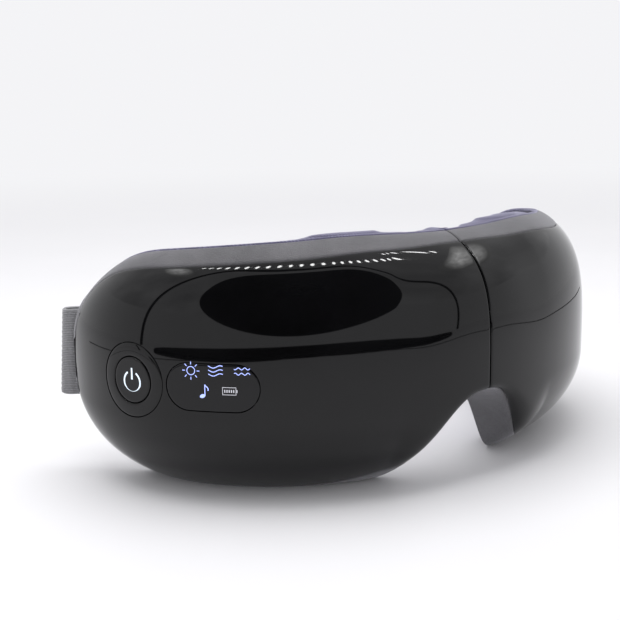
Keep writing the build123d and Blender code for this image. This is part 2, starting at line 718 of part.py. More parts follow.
with BuildPart() as hinge_pin:
    with BuildSketch(Plane.XY.offset(HINGE_LOW - 1)):
        with Locations((0, HINGE_Y)):
            Circle(PIN_RADIUS)
    extrude(amount=HINGE_HIGH - HINGE_LOW + 2)
    with BuildSketch(Plane.XY.offset(HINGE_LOW - 1), Plane.XY.offset(HINGE_HIGH)):
        with Locations((0, HINGE_Y)):
            Circle(2.0)
    extrude(amount=1.0)
save(hinge_pin.part, "hinge_pin")
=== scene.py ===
"""Foldable eye massager mask on a pale studio floor. Metres; X across, -Y to the front, Z up.

The pods follow the same formula as the CAD model: s runs along the plan outline from the seam,
depth inwards from it and z up. The formula works in millimetres and `world` turns it into metres.
"""
import json
import math
import random

import bmesh
import bpy
import numpy as np
from mathutils import Matrix, Vector
from mathutils.bvhtree import BVHTree

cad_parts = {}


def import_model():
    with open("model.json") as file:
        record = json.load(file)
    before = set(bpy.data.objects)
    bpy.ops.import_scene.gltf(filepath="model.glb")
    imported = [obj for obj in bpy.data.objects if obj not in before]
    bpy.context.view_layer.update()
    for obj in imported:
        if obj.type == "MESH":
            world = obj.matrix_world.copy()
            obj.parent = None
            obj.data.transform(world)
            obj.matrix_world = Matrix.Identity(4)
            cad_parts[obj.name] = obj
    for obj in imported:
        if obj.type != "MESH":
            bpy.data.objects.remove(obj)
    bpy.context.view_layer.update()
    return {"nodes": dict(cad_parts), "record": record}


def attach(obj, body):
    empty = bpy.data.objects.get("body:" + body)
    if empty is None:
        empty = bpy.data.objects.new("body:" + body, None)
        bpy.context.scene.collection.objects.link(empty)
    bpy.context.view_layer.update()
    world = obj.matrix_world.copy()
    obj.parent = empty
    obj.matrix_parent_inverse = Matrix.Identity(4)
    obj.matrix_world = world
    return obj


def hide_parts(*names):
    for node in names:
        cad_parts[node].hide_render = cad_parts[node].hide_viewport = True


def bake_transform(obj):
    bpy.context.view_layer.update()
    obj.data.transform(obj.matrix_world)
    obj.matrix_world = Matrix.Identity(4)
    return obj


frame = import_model()
random.seed(7)

# ------------------------------------------------------------------ the pod's surface, in mm
HALF_WIDTH, OUTLINE_DEPTH, MIDDLE_DEPTH, BASE_TRIM = 102.9, 81.7, 54.65, 3.0
POD_HEIGHT, CLOSE_HEIGHT, CLOSE_START, CLOSE_END = 90.0, 55.6, 116.5, 163.9
LOW_CLOSE_START = 119.4
NOSE_ARCH, NOSE_ARCH_REACH = 32.8, 35.5
THICKNESS_SEAM, THICKNESS_SIDE = 34.9, 30.5
SHELL_EDGE_TOP, SHELL_EDGE_BOTTOM = 20.2, 11.0
RIM_EDGE_TOP, RIM_EDGE_BOTTOM = 12.8, 5.5
SIDES = (("left", -1), ("right", 1))
BUTTON_S, WINDOW_S, CONTROL_Z = 123.3, 94.6, 39.6
RING_RADIUS = 12.1
WINDOW_LENGTH, WINDOW_HEIGHT = 30.4, 15.2

ANGLES = np.linspace(0.0, 2.7, 20001)
SPEED = np.hypot(HALF_WIDTH * np.cos(ANGLES), OUTLINE_DEPTH * np.sin(ANGLES))
ARC = np.concatenate([[0.0], np.cumsum((SPEED[1:] + SPEED[:-1]) / 2 * np.diff(ANGLES))])


def smooth(t):
    t = np.clip(t, 0.0, 1.0)
    return t * t * (3.0 - 2.0 * t)


def outline(s):
    u = np.interp(s, ARC, ANGLES)
    tx, ty = HALF_WIDTH * np.cos(u), OUTLINE_DEPTH * np.sin(u)
    n = np.hypot(tx, ty)
    return HALF_WIDTH * np.sin(u), OUTLINE_DEPTH * (1.0 - np.cos(u)), -ty / n, tx / n


def pod_size(s):
    s = np.asarray(s, float)
    arch = (1.0 - np.clip(s / NOSE_ARCH_REACH, 0, 1) ** 2.44) ** 2.73
    along = (s - CLOSE_START) / (CLOSE_END - CLOSE_START)
    top_close = (1.0 - np.clip(along, 0, 1) ** 3.16) ** (1 / 3.16)
    along = (s - LOW_CLOSE_START) / (CLOSE_END - LOW_CLOSE_START)
    bottom_close = (1.0 - np.clip(along, 0, 1) ** 4) ** 0.25
    near = 1.0 - smooth(s / NOSE_ARCH_REACH)
    low = NOSE_ARCH * arch
    high = POD_HEIGHT - 2.9 * (1.0 - smooth(s / 55.0)) - 3.5 * (s / 101.0) ** 2
    thick = THICKNESS_SEAM + (THICKNESS_SIDE - THICKNESS_SEAM) * smooth(s / 70.5)
    thick = thick * (0.161 + 0.839 * top_close)
    high = CLOSE_HEIGHT + (high - CLOSE_HEIGHT) * top_close
    low = CLOSE_HEIGHT + (low - CLOSE_HEIGHT) * bottom_close
    mid = low + (0.378 - 0.255 * near) * (high - low)
    return low, high, mid, thick, near


def surface_point(s, lean, inset=0.0):
    low, high, mid, thick, near = pod_size(s)
    angle = np.radians(90.0 * np.asarray(lean, float))
    c, u = np.abs(np.cos(angle)), np.abs(np.sin(angle))
    up = angle >= 0
    depth = inset + (thick - inset) * (1.0 - c ** np.where(up, 2 / 1.883, 2 / 1.402))
    rise = mid + (high - inset - mid) * u ** (2 / 3.868)
    fall = mid - (mid - low - inset) * u ** (2 / (2.057 + 6.943 * near))
    z = np.where(up, rise, fall)
    return depth, np.maximum(z - BASE_TRIM, 0.0)


def lean_at(s, depth, top):
    first = np.zeros_like(np.asarray(s, float) + depth)
    last = np.full_like(first, 1.0 if top else -1.0)
    for _ in range(34):
        middle = (first + last) / 2
        below = surface_point(s, middle)[0] < depth
        first, last = np.where(below, middle, first), np.where(below, last, middle)
    return (first + last) / 2


def edge_distance(s, at_seam, at_bottom, at_temple):
    usual = at_bottom + (at_temple - at_bottom) * smooth((s - 140.0) / 18.0)
    return usual + (at_seam - usual) * (1.0 - smooth(s / 64.0))


def shell_edges(s):
    thick = pod_size(s)[3]
    bottom = edge_distance(s, thick - 1.5, SHELL_EDGE_BOTTOM, SHELL_EDGE_TOP)
    return thick - SHELL_EDGE_TOP, thick - bottom


def rim_edges(s):
    thick = pod_size(s)[3]
    bottom = edge_distance(s, RIM_EDGE_TOP, RIM_EDGE_BOTTOM, RIM_EDGE_TOP)
    return thick - RIM_EDGE_TOP, thick - bottom


def world(side, s, depth, z):
    x, y, nx, ny = outline(s)
    return np.stack(
        [side * (x + nx * depth) / 1000, (y + ny * depth - MIDDLE_DEPTH) / 1000, (z + 0 * x) / 1000], axis=-1
    )


def section(s, inset=0.0, count=64, ahead=0.0):
    """Evenly spaced (depth, z) points of the shell's section at s, bottom edge to top edge."""
    top, bottom = shell_edges(s)
    a = float(lean_at(s, max(bottom - ahead, 0.35), False))
    b = float(lean_at(s, max(top - ahead, 0.35), True))
    w = np.concatenate([-np.linspace(1, 0, 500, endpoint=False) ** 3 * -a, np.linspace(0, 1, 501) ** 3 * b])
    d, z = surface_point(s, w, inset)
    run = np.concatenate([[0], np.cumsum(np.hypot(np.diff(d), np.diff(z)))])
    at = np.linspace(0, run[-1], count)
    return np.interp(at, run, d), np.interp(at, run, z)


def depth_at(s, z):
    """Depth of the outer surface at s and height z, for points on the front."""
    s, z = np.asarray(s, float), np.asarray(z, float)
    upper = z > pod_size(s)[2] - BASE_TRIM
    lo, hi = np.zeros_like(s), np.ones_like(s)
    for _ in range(34):
        m = (lo + hi) / 2
        h = surface_point(s, np.where(upper, m, -m))[1]
        inside = (h < z) == upper
        lo, hi = np.where(inside, m, lo), np.where(inside, hi, m)
    return surface_point(s, np.where(upper, lo, -lo))[0]


def front(side, s, z, proud=0.0):
    """Point on the front surface at s and z, standing proud by that many mm."""
    return world(side, s, depth_at(s, z) - proud, z)


# ------------------------------------------------------------------ mesh helpers
def new_object(name, verts, faces, smooth_faces=True):
    mesh = bpy.data.meshes.new(name)
    mesh.from_pydata([tuple(map(float, v)) for v in verts], [], [tuple(map(int, f)) for f in faces])
    mesh.validate()
    obj = bpy.data.objects.new(name, mesh)
    bpy.context.scene.collection.objects.link(obj)
    if smooth_faces:
        mesh.polygons.foreach_set("use_smooth", [True] * len(mesh.polygons))
    return obj


def clean(obj, merge=0.00002, angle=None):
    bm = bmesh.new()
    bm.from_mesh(obj.data)
    bmesh.ops.remove_doubles(bm, verts=bm.verts, dist=merge)
    bmesh.ops.recalc_face_normals(bm, faces=bm.faces)
    if angle is not None:
        for e in bm.edges:
            if len(e.link_faces) == 2 and e.calc_face_angle(0) > math.radians(angle):
                e.smooth = False
    bm.to_mesh(obj.data)
    bm.free()


def grid_faces(rows, cols, close_cols=False, offset=0):
    out = []
    for i in range(rows - 1):
        for j in range(cols if close_cols else cols - 1):
            k = (j + 1) % cols
            here, there = offset + i * cols, offset + (i + 1) * cols
            out.append((here + j, here + k, there + k, there + j))
    return out


def modifier(obj, kind, name="m", **values):
    m = obj.modifiers.new(name, kind)
    for key, value in values.items():
        setattr(m, key, value)
    return m


def apply_all(obj):
    deps = bpy.context.evaluated_depsgraph_get()
    mesh = bpy.data.meshes.new_from_object(obj.evaluated_get(deps))
    obj.modifiers.clear()
    obj.data = mesh


def tube(name, points, radius, closed=False, sides=8):
    """Round tube along a list of points, in metres."""
    pts = np.asarray(points, float)
    n = len(pts)
    ahead = np.roll(pts, -1, 0) - np.roll(pts, 1, 0) if closed else np.gradient(pts, axis=0)
    ahead /= np.linalg.norm(ahead, axis=1)[:, None] + 1e-12
    ref = np.array([0.0, 0.0, 1.0])
    verts = []
    last = None
    for i in range(n):
        t = ahead[i]
        if last is None:
            u = np.cross(t, ref if abs(t[2]) < 0.95 else np.array([1.0, 0, 0]))
        else:
            u = last - t * np.dot(last, t)
        u /= np.linalg.norm(u) + 1e-12
        last = u
        v = np.cross(t, u)
        r = radius[i] if hasattr(radius, "__len__") else radius
        for k in range(sides):
            a = 2 * math.pi * k / sides
            verts.append(pts[i] + r * (u * math.cos(a) + v * math.sin(a)))
    faces = grid_faces(n, sides, close_cols=True)
    if closed:
        end = (n - 1) * sides
        faces += [(end + j, end + (j + 1) % sides, (j + 1) % sides, j) for j in range(sides)]
    else:
        faces += [tuple(range(sides - 1, -1, -1)), tuple((n - 1) * sides + j for j in range(sides))]
    return new_object(name, verts, faces)


def join(name, objs):
    verts, faces, offset = [], [], 0
    for o in objs:
        verts += [v.co.copy() for v in o.data.vertices]
        faces += [[offset + i for i in p.vertices] for p in o.data.polygons]
        offset = len(verts)
        bpy.data.objects.remove(o)
    return new_object(name, verts, faces)


# ------------------------------------------------------------------ materials
class Mat:
    """A node material with a Principled shader and short ways to add procedural detail."""

    def __init__(self, name, color, rough, metallic=0.0, **sockets):
        self.mat = bpy.data.materials.new(name)
        self.mat.use_nodes = True
        self.tree = self.mat.node_tree
        self.bsdf = self.tree.nodes["Principled BSDF"]
        self.bsdf.inputs["Base Color"].default_value = (*color, 1)
        self.bsdf.inputs["Roughness"].default_value = rough
        self.bsdf.inputs["Metallic"].default_value = metallic
        for key, value in sockets.items():
            self.bsdf.inputs[key.replace("_", " ")].default_value = value
        self.coord = self.node("ShaderNodeTexCoord").outputs["Object"]
        self.last_bump = None

    def node(self, kind, **values):
        n = self.tree.nodes.new(kind)
        for key, value in values.items():
            if key in n.inputs:
                n.inputs[key].default_value = value
            else:
                setattr(n, key, value)
        return n

    def link(self, a, b):
        self.tree.links.new(a, b)

    def scaled(self, scale):
        m = self.node("ShaderNodeMapping")
        m.inputs["Scale"].default_value = scale if hasattr(scale, "__len__") else (scale,) * 3
        self.link(self.coord, m.inputs["Vector"])
        return m.outputs["Vector"]

    def noise(self, scale, detail=3.0, rough=0.55, stretch=(1, 1, 1)):
        n = self.node("ShaderNodeTexNoise")
        n.inputs["Scale"].default_value = scale
        n.inputs["Detail"].default_value = detail
        n.inputs["Roughness"].default_value = rough
        self.link(self.scaled(stretch), n.inputs["Vector"])
        return n.outputs["Fac"]

    def cells(self, scale, feature="F1", stretch=(1, 1, 1)):
        n = self.node("ShaderNodeTexVoronoi", feature=feature)
        n.inputs["Scale"].default_value = scale
        self.link(self.scaled(stretch), n.inputs["Vector"])
        return n.outputs["Distance"]

    def wave(self, scale, direction="X", distortion=0.0, stretch=(1, 1, 1)):
        n = self.node("ShaderNodeTexWave", bands_direction=direction)
        n.inputs["Scale"].default_value = scale
        n.inputs["Distortion"].default_value = distortion
        n.inputs["Detail Scale"].default_value = 2.0
        self.link(self.scaled(stretch), n.inputs["Vector"])
        return n.outputs["Fac"]

    def ramp(self, fac, stops):
        n = self.node("ShaderNodeValToRGB")
        while len(n.color_ramp.elements) < len(stops):
            n.color_ramp.elements.new(0.5)
        for e, (pos, value) in zip(n.color_ramp.elements, stops):
            e.position = pos
            e.color = (*value, 1) if hasattr(value, "__len__") else (value, value, value, 1)
        self.link(fac, n.inputs["Fac"])
        return n.outputs["Color"]

    def color(self, fac, stops):
        self.link(self.ramp(fac, stops), self.bsdf.inputs["Base Color"])

    def rough(self, fac, low, high):
        m = self.node("ShaderNodeMapRange")
        m.inputs["To Min"].default_value = low
        m.inputs["To Max"].default_value = high
        self.link(fac, m.inputs["Value"])
        self.link(m.outputs["Result"], self.bsdf.inputs["Roughness"])

    def mix(self, a, b, share=0.5, mode="MIX"):
        if mode == "MIX":
            n = self.node("ShaderNodeMix", data_type="FLOAT")
            n.inputs[0].default_value = share
            self.link(a, n.inputs[2])
            self.link(b, n.inputs[3])
            return n.outputs[0]
        n = self.node("ShaderNodeMath", operation=mode)
        self.link(a, n.inputs[0])
        self.link(b, n.inputs[1])
        return n.outputs[0]

    def bump(self, fac, distance, strength=1.0):
        n = self.node("ShaderNodeBump")
        n.inputs["Distance"].default_value = distance
        n.inputs["Strength"].default_value = strength
        self.link(fac, n.inputs["Height"])
        if self.last_bump is not None:
            self.link(self.last_bump, n.inputs["Normal"])
        self.last_bump = n.outputs["Normal"]
        self.link(self.last_bump, self.bsdf.inputs["Normal"])
        return self


def make_gloss(name, color=(0.0022, 0.0022, 0.0025)):
    m = Mat(name, color, 0.05, IOR=1.39)
    smudge = m.noise(60, 5, 0.65)
    fine = m.noise(900, 2, 0.5)
    m.color(m.noise(35, 4, 0.6), [(0.35, [c * 0.8 for c in color]), (0.7, [c * 1.5 for c in color])])
    m.rough(m.mix(smudge, fine, 0.3), 0.015, 0.06)
    m.bump(m.noise(45, 2, 0.4), 0.00002, 0.25)
    return m.mat


def make_leather():
    m = Mat("rim_leather", (0.05, 0.05, 0.055), 0.5, IOR=1.5, Sheen_Weight=0.5, Sheen_Roughness=0.35)
    m.bsdf.inputs["Sheen Tint"].default_value = (0.8, 0.8, 0.85, 1)
    grain = m.cells(1500, "DISTANCE_TO_EDGE")
    pores = m.cells(2600)
    big = m.noise(70, 4, 0.6)
    m.color(m.mix(big, grain, 0.35),
        [(0.2, (0.064, 0.063, 0.068)), (0.55, (0.122, 0.119, 0.129)), (0.85, (0.188, 0.184, 0.197))])
    m.rough(m.mix(big, pores, 0.4), 0.36, 0.58)
    m.bump(m.ramp(grain, [(0.0, 0.0), (0.22, 1.0)]), 0.00010, 0.55)
    m.bump(pores, 0.00005, 0.35)
    m.bump(m.noise(160, 3, 0.5), 0.0002, 0.3)
    return m.mat


def make_fabric(name="pad_fabric", deep=(0.034, 0.031, 0.066), pale=(0.145, 0.136, 0.235), knit=900):
    m = Mat(name, deep, 0.92, Sheen_Weight=0.9, Sheen_Roughness=0.45)
    m.bsdf.inputs["Sheen Tint"].default_value = (0.80, 0.79, 0.95, 1)
    rows = m.wave(knit * 0.35, "Z", 2.0)
    cols = m.wave(knit * 0.35, "X", 2.0)
    weave = m.mix(rows, cols, mode="MULTIPLY")
    fluff = m.noise(1400, 4, 0.7)
    patch = m.noise(90, 4, 0.6)
    m.color(m.mix(m.mix(weave, fluff, 0.55), patch, 0.35),
        [(0.2, deep), (0.5, [(a + b) / 2 for a, b in zip(deep, pale)]), (0.8, pale)])
    m.rough(fluff, 0.8, 1.0)
    m.bump(weave, 0.00022, 0.7)
    m.bump(fluff, 0.0003, 0.6)
    return m.mat


def make_knit():
    m = Mat("strap_knit", (0.22, 0.22, 0.23), 0.88, Sheen_Weight=0.4, Sheen_Roughness=0.5)
    rib = m.wave(520, "Z", 0.6)
    stitch = m.noise(1600, 3, 0.65)
    fibre = m.noise(700, 5, 0.7, (1, 1, 0.15))
    m.color(m.mix(m.mix(rib, stitch, 0.5), fibre, 0.4),
        [(0.2, (0.10, 0.10, 0.105)), (0.5, (0.21, 0.21, 0.22)), (0.8, (0.36, 0.36, 0.375))])
    m.rough(stitch, 0.78, 0.97)
    m.bump(rib, 0.00025, 0.6)
    m.bump(stitch, 0.0002, 0.6)
    return m.mat


def make_plastic(name, color, rough=0.45):
    m = Mat(name, color, rough, IOR=1.46)
    fine = m.noise(1300, 3, 0.6)
    m.color(m.noise(55, 4, 0.6), [(0.3, [c * 0.82 for c in color]), (0.7, [min(c * 1.18, 1) for c in color])])
    m.rough(fine, max(rough - 0.08, 0.05), min(rough + 0.12, 1))
    m.bump(fine, 0.00004, 0.5)
    return m.mat


def make_metal(name, color, rough=0.3, stretch=(1, 1, 14)):
    m = Mat(name, color, rough, 1.0)
    brush = m.noise(420, 3, 0.6, stretch)
    m.color(m.noise(80, 4, 0.6), [(0.3, [c * 0.78 for c in color]), (0.7, [min(c * 1.1, 1) for c in color])])
    m.rough(brush, max(rough - 0.12, 0.05), min(rough + 0.15, 1))
    m.bump(brush, 0.00003, 0.4)
    return m.mat


def make_board():
    m = Mat("circuit_board", (0.01, 0.10, 0.04), 0.35, IOR=1.5, Coat_Weight=0.4)
    tracks = m.cells(420, "DISTANCE_TO_EDGE", (1, 1, 1))
    m.color(m.ramp(tracks, [(0.03, 0.0), (0.07, 1.0)]),
        [(0.0, (0.03, 0.22, 0.08)), (1.0, (0.008, 0.085, 0.03))])
    m.bump(m.ramp(tracks, [(0.03, 1.0), (0.07, 0.0)]), 0.00003, 0.7)
    m.rough(m.noise(300), 0.28, 0.45)
    return m.mat


def make_glow(name, color, strength):
    m = Mat(name, color, 0.4)
    m.bsdf.inputs["Emission Color"].default_value = (*color, 1)
    m.bsdf.inputs["Emission Strength"].default_value = strength
    m.color(m.noise(700, 2), [(0.3, [c * 0.9 for c in color]), (0.7, color)])
    return m.mat


GLOSS = make_gloss("gloss_shell")
WINDOW = make_gloss("display_glass", (0.0026, 0.0026, 0.0032))
CAP = make_gloss("button_gloss", (0.0030, 0.0030, 0.0033))
LEATHER = make_leather()
FABRIC = make_fabric()
# Darker copy of the pad fabric: painted shade for the dish and for the seam round the cushion's back
PAINTED_SHADE_FABRIC = make_fabric("pad_fabric_painted_shade", (0.018, 0.017, 0.032), (0.070, 0.065, 0.11), 1500)
THREAD = make_fabric("thread", (0.06, 0.055, 0.10), (0.22, 0.21, 0.32), 3200)
KNIT = make_knit()
BLACK = make_plastic("frame_plastic", (0.022, 0.022, 0.024), 0.5)
ICON = make_glow("icon_light", (0.36, 0.44, 0.93), 0.95)
BATTERY_ICON = make_glow("battery_light", (0.42, 0.42, 0.46), 0.75)
POWER_ICON = make_glow("power_light", (0.58, 0.66, 0.74), 0.85)
BY_SLOT = {
    "gloss_shell": GLOSS,
    "display_glass": WINDOW,
    "button_gloss": CAP,
    "rim_leather": LEATHER,
    "pad_fabric": FABRIC,
    "frame_plastic": BLACK,
    "strap_knit": KNIT,
    "patch": make_fabric("patch", (0.02, 0.02, 0.022), (0.09, 0.09, 0.095), 2200),
    "steel": make_metal("steel", (0.62, 0.62, 0.63), 0.28),
    "circuit_board": make_board(),
    "battery_wrap": make_metal("battery_wrap", (0.55, 0.57, 0.6), 0.35, (1, 6, 1)),
    "clear_guide": make_plastic("clear_guide", (0.8, 0.8, 0.8), 0.3),
    "motor_can": make_metal("motor_can", (0.55, 0.55, 0.56), 0.3),
    "brass_weight": make_metal("brass_weight", (0.72, 0.55, 0.25), 0.35, (6, 6, 1)),
    "bag_film": make_plastic("bag_film", (0.33, 0.33, 0.34), 0.6),
    "plate_plastic": make_plastic("plate_plastic", (0.75, 0.75, 0.74), 0.4),
    "heater": make_plastic("heater", (0.45, 0.22, 0.05), 0.35),
    "speaker_cone": make_plastic("speaker_cone", (0.05, 0.05, 0.05), 0.7),
    "port_metal": make_metal("port_metal", (0.5, 0.5, 0.52), 0.25),
}
for part in frame["record"]["subparts"]:
    node = frame["nodes"].get(part["node"])
    if node is not None:
        node.data.materials.clear()
        node.data.materials.append(BY_SLOT[part["material_slot"]])


def finish_piece(obj, material, body, slot, *nodes):
    """Material, body and replaced nodes of a new piece; the slot argument is not used."""
    obj.data.materials.clear()
    obj.data.materials.append(material)
    if body:
        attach(obj, body)
    if nodes:
        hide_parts(*nodes)


# ------------------------------------------------------------------ glossy front shells
def flat_prism(side, outline_points, reach):
    """Closed prism whose sides cut through the front surface; points are (s, z) in mm."""
    pts = np.array(outline_points)
    s0, z0 = pts[:, 0].mean(), pts[:, 1].mean()
    out = front(side, s0, z0, 1.0) - front(side, s0, z0, 0.0)
    base = front(side, pts[:, 0], pts[:, 1])
    lows = base - out * reach
    highs = base + out * reach
    n = len(pts)
    faces = [(i, (i + 1) % n, n + (i + 1) % n, n + i) for i in range(n)]
    faces += [tuple(range(n - 1, -1, -1)), tuple(range(n, 2 * n))]
    obj = new_object("cutter", list(lows) + list(highs), faces, False)
    clean(obj)
    return obj


def circle_points(s0, z0, radius, count=128):
    return [
        (s0 + radius * math.cos(2 * math.pi * i / count), z0 + radius * math.sin(2 * math.pi * i / count))
        for i in range(count)
    ]


def slot_points(s0, z0, length, height, count=48):
    r = height / 2
    out = []
    for cx, a0 in ((length / 2 - r, -90), (-length / 2 + r, 90)):
        for i in range(count + 1):
            a = math.radians(a0 + 180 * i / count)
            out.append((s0 + cx + r * math.cos(a), z0 + r * math.sin(a)))
        end, nxt = out[-1], -1 if cx > 0 else 1
        span = length - height
        for i in range(1, 14):
            out.append((end[0] + nxt * span * i / 14, end[1]))
    return out


def shell(side_name, side):
    rows, cols = [], 84
    marks = [(0.2, 2.2), (0.2, 0.5), (0.28, 0.2), (0.5, 0.04), (0.9, 0.0)]
    marks += [
        (s, 0.0) for s in np.concatenate(
            [np.linspace(2.0, 36.0, 30), np.linspace(37.4, 120, 62), np.linspace(121.2, 159.2, 38)])
    ]
    for s, inset in marks:
        d, z = section(s, 0.0, cols)
        if inset:
            dd, zz = np.gradient(d), np.gradient(z)
            n = np.hypot(dd, zz) + 1e-9
            d, z = d + inset * np.abs(zz) / n, z - inset * dd / n * np.where(np.arange(cols) < 0, -1, 1)
        lip_low = [(d[0] + 0.42, z[0] + 1.9), (d[0] + 0.42, z[0] + 0.5), (d[0] + 0.25, z[0] + 0.14)]
        lip_top = [(d[-1] + 0.25, z[-1] - 0.14), (d[-1] + 0.42, z[-1] - 0.5), (d[-1] + 0.42, z[-1] - 1.9)]
        dz = lip_low + list(zip(d, z)) + lip_top
        rows.append(world(side, s, np.array([p[0] for p in dz]), np.array([p[1] for p in dz])))
    width = cols + 6
    verts = [p for row in rows for p in row]
    faces = grid_faces(len(rows), width)
    end = len(verts)
    verts.append(np.mean(rows[0], axis=0))
    faces += [(end, j, j + 1) for j in range(width - 1)] + [(end, width - 1, 0)]
    obj = new_object(f"shell_{side_name}", verts, faces)
    clean(obj, 0.000005)
    modifier(obj, "SUBSURF", levels=1, render_levels=1)
    apply_all(obj)
    return obj


def cut_with_clean_shading(obj, cutters):
    """Cuts openings and gives the cut shell the uncut surface's own shading."""
    mesh = obj.data
    tree = BVHTree.FromPolygons([v.co for v in mesh.vertices], [p.vertices[:] for p in mesh.polygons])
    source = mesh.copy()
    normals = [v.normal.copy() for v in source.vertices]
    corners = [p.vertices[:] for p in source.polygons]
    spots = [v.co.copy() for v in source.vertices]
    for cutter in cutters:
        m = modifier(obj, "BOOLEAN", operation="DIFFERENCE", solver="EXACT")
        m.object = cutter
    apply_all(obj)
    for cutter in cutters:
        bpy.data.objects.remove(cutter)
    cut = obj.data
    wanted = []
    for poly in cut.polygons:
        poly.use_smooth = True
        spot, normal, index, gap = tree.find_nearest(poly.center)
        on_skin = gap is not None and gap < 0.00006 and poly.normal.dot(normal) > 0.9
        for li in poly.loop_indices:
            if not on_skin:
                wanted.append(tuple(poly.normal))
                continue
            co = cut.vertices[cut.loops[li].vertex_index].co
            spot, _, index, _ = tree.find_nearest(co)
            total, weight = Vector((0, 0, 0)), 0.0
            for vi in corners[index]:
                w = 1.0 / ((spots[vi] - co).length + 1e-7)
                total += normals[vi] * w
                weight += w
            wanted.append(tuple((total / weight).normalized()))
    cut.normals_split_custom_set(wanted)


for side_name, side in SIDES:
    obj = shell(side_name, side)
    if side_name == "left":
        ring_hole = flat_prism(side, circle_points(BUTTON_S, CONTROL_Z, RING_RADIUS + 0.16), 3.5)
        window_hole = flat_prism(side,
            slot_points(WINDOW_S, CONTROL_Z, WINDOW_LENGTH + 0.3, WINDOW_HEIGHT + 0.3), 3.5)
        cut_with_clean_shading(obj, [ring_hole, window_hole])
    finish_piece(obj, GLOSS, f"{side_name}_pod", "gloss_shell", f"front_shell_{side_name}")


# ------------------------------------------------------------------ leather rims
def leather(side_name, side):
    stations = [(0.2, 1.6), (0.22, 0.5), (0.35, 0.18), (0.6, 0.04), (1.0, 0.0)]
    stations += [
        (s, 0.0) for s in np.concatenate(
            [np.linspace(2.2, 36, 26), np.linspace(38, 120, 48), np.linspace(121.5, 160.6, 34)])]
    stations += [(161.2, 0.0), (162.2, 0.08), (163.0, 0.4), (163.5, 1.0), (163.7, 1.9)]
    bands = {}
    for top in (True, False):
        rows = []
        for place, inset in stations:
            s = min(place, 161.2)
            edge = 0 if top else 1
            f = max(float(shell_edges(s)[edge]) + 0.5, 0.4)
            r = float(rim_edges(s)[edge])
            inner = np.linspace(f + 0.6, r - 0.7, 13)
            depth = np.concatenate(
                [[f + 0.02, f + 0.02, f + 0.1, f + 0.28], inner, [r - 0.3, r - 0.08, r, r]])
            hump = 0.16 * np.sin(np.pi * np.linspace(0.05, 0.95, 13))
            drop = np.concatenate([[1.9, 0.7, 0.26, 0.08], -hump, [0.10, 0.34, 0.8, 1.9]]) + inset
            z = surface_point(s, lean_at(np.full(depth.shape, s), depth, top))[1]
            flat = np.where(z < 0.35, 0.0, 1.0) if not top else 1.0
            rows.append(world(side, place, depth,
                z - drop if top else np.maximum(z + drop * np.where(drop < 0, flat, 1.0), 0.0)))
        bands[top] = rows
    n = len(bands[True][0])
    verts = [p for row in bands[True] for p in row] + [p for row in bands[False] for p in row]
    faces = grid_faces(len(stations), n) + grid_faces(len(stations), n, offset=len(stations) * n)
    for k in (0, -1):
        steps = 18
        base = len(verts)
        for i in range(steps + 1):
            t = i / steps
            row = bands[True][k][2:-2] * (1 - t) + bands[False][k][2:-2] * t
            if k == -1:
                round_off = np.sin(np.pi * np.linspace(0, 1, n - 4)) ** 0.6 * math.sin(math.pi * t) ** 0.5
                _, _, nx, ny = outline(162.0)
                row = row + np.outer(round_off, [side * ny, -nx, 0]) * 0.0013
            verts += list(row)
        faces += grid_faces(steps + 1, n - 4, offset=base)
    obj = new_object(f"rim_{side_name}", verts, faces)
    clean(obj, 0.00001)
    modifier(obj, "SUBSURF", levels=1, render_levels=1)
    apply_all(obj)
    finish_piece(obj, LEATHER, f"{side_name}_pod", "rim_leather", f"leather_rim_{side_name}")


for side_name, side in SIDES:
    leather(side_name, side)


# ------------------------------------------------------------------ button, window and icons
def disc(name, s0, z0, rings, outline_of, capped, side=-1):
    """Conforming piece from concentric outlines: (size, proud) from the middle outwards."""
    verts, counts = [], None
    for size, proud in rings:
        pts = np.array(outline_of(s0, z0, size))
        counts = len(pts)
        verts += list(front(side, pts[:, 0], pts[:, 1], proud))
    faces = grid_faces(len(rings), counts, close_cols=True)
    if capped:
        faces.append(tuple(range(counts)))
    return new_object(name, verts, faces)


def round_outline(s0, z0, radius):
    return circle_points(s0, z0, radius, 120)


def slot_outline(s0, z0, inset):
    return slot_points(s0, z0, WINDOW_LENGTH - 2 * inset, WINDOW_HEIGHT - 2 * inset)


ring = disc(
    "button_ring", BUTTON_S, CONTROL_Z,
    [(7.66, -1.4), (7.66, -0.42), (7.72, -0.2), (7.9, -0.04), (8.3, 0.02), (9.4, 0.06), (10.6, 0.06),
        (11.5, 0.02),
     (11.85, -0.04), (12.02, -0.18), (12.08, -0.42), (12.08, -1.6)],
    round_outline, False,
)
clean(ring)
modifier(ring, "SUBSURF", levels=1, render_levels=1)
apply_all(ring)
finish_piece(ring, CAP, "left_pod", "button_gloss", "power_button_ring")

cap = disc(
    "button_cap", BUTTON_S, CONTROL_Z,
    [(0.4, -0.28), (1.5, -0.27), (3.0, -0.23), (4.5, -0.16), (5.8, -0.07), (6.6, -0.01), (7.0, 0.0),
        (7.25, -0.06),
     (7.4, -0.22), (7.44, -0.5), (7.44, -1.6)],
    round_outline, True,
)
clean(cap)
modifier(cap, "SUBSURF", levels=1, render_levels=1)
apply_all(cap)
finish_piece(cap, CAP, "power_button", "button_gloss", "power_button")

window = disc(
    "window", WINDOW_S, CONTROL_Z,
    [(7.6, 0.0), (7.0, 0.0), (6.0, 0.0), (5.0, 0.0), (4.0, 0.0), (3.0, 0.0), (2.0, 0.0), (1.2, 0.0),
        (0.6, 0.0), (0.34, -0.02),
     (0.16, -0.08), (0.06, -0.2), (0.02, -0.42), (0.02, -1.6)],
    slot_outline, False,
)
clean(window)
modifier(window, "SUBSURF", levels=1, render_levels=1)
apply_all(window)
finish_piece(window, WINDOW, "left_pod", "display_glass", "display_window")


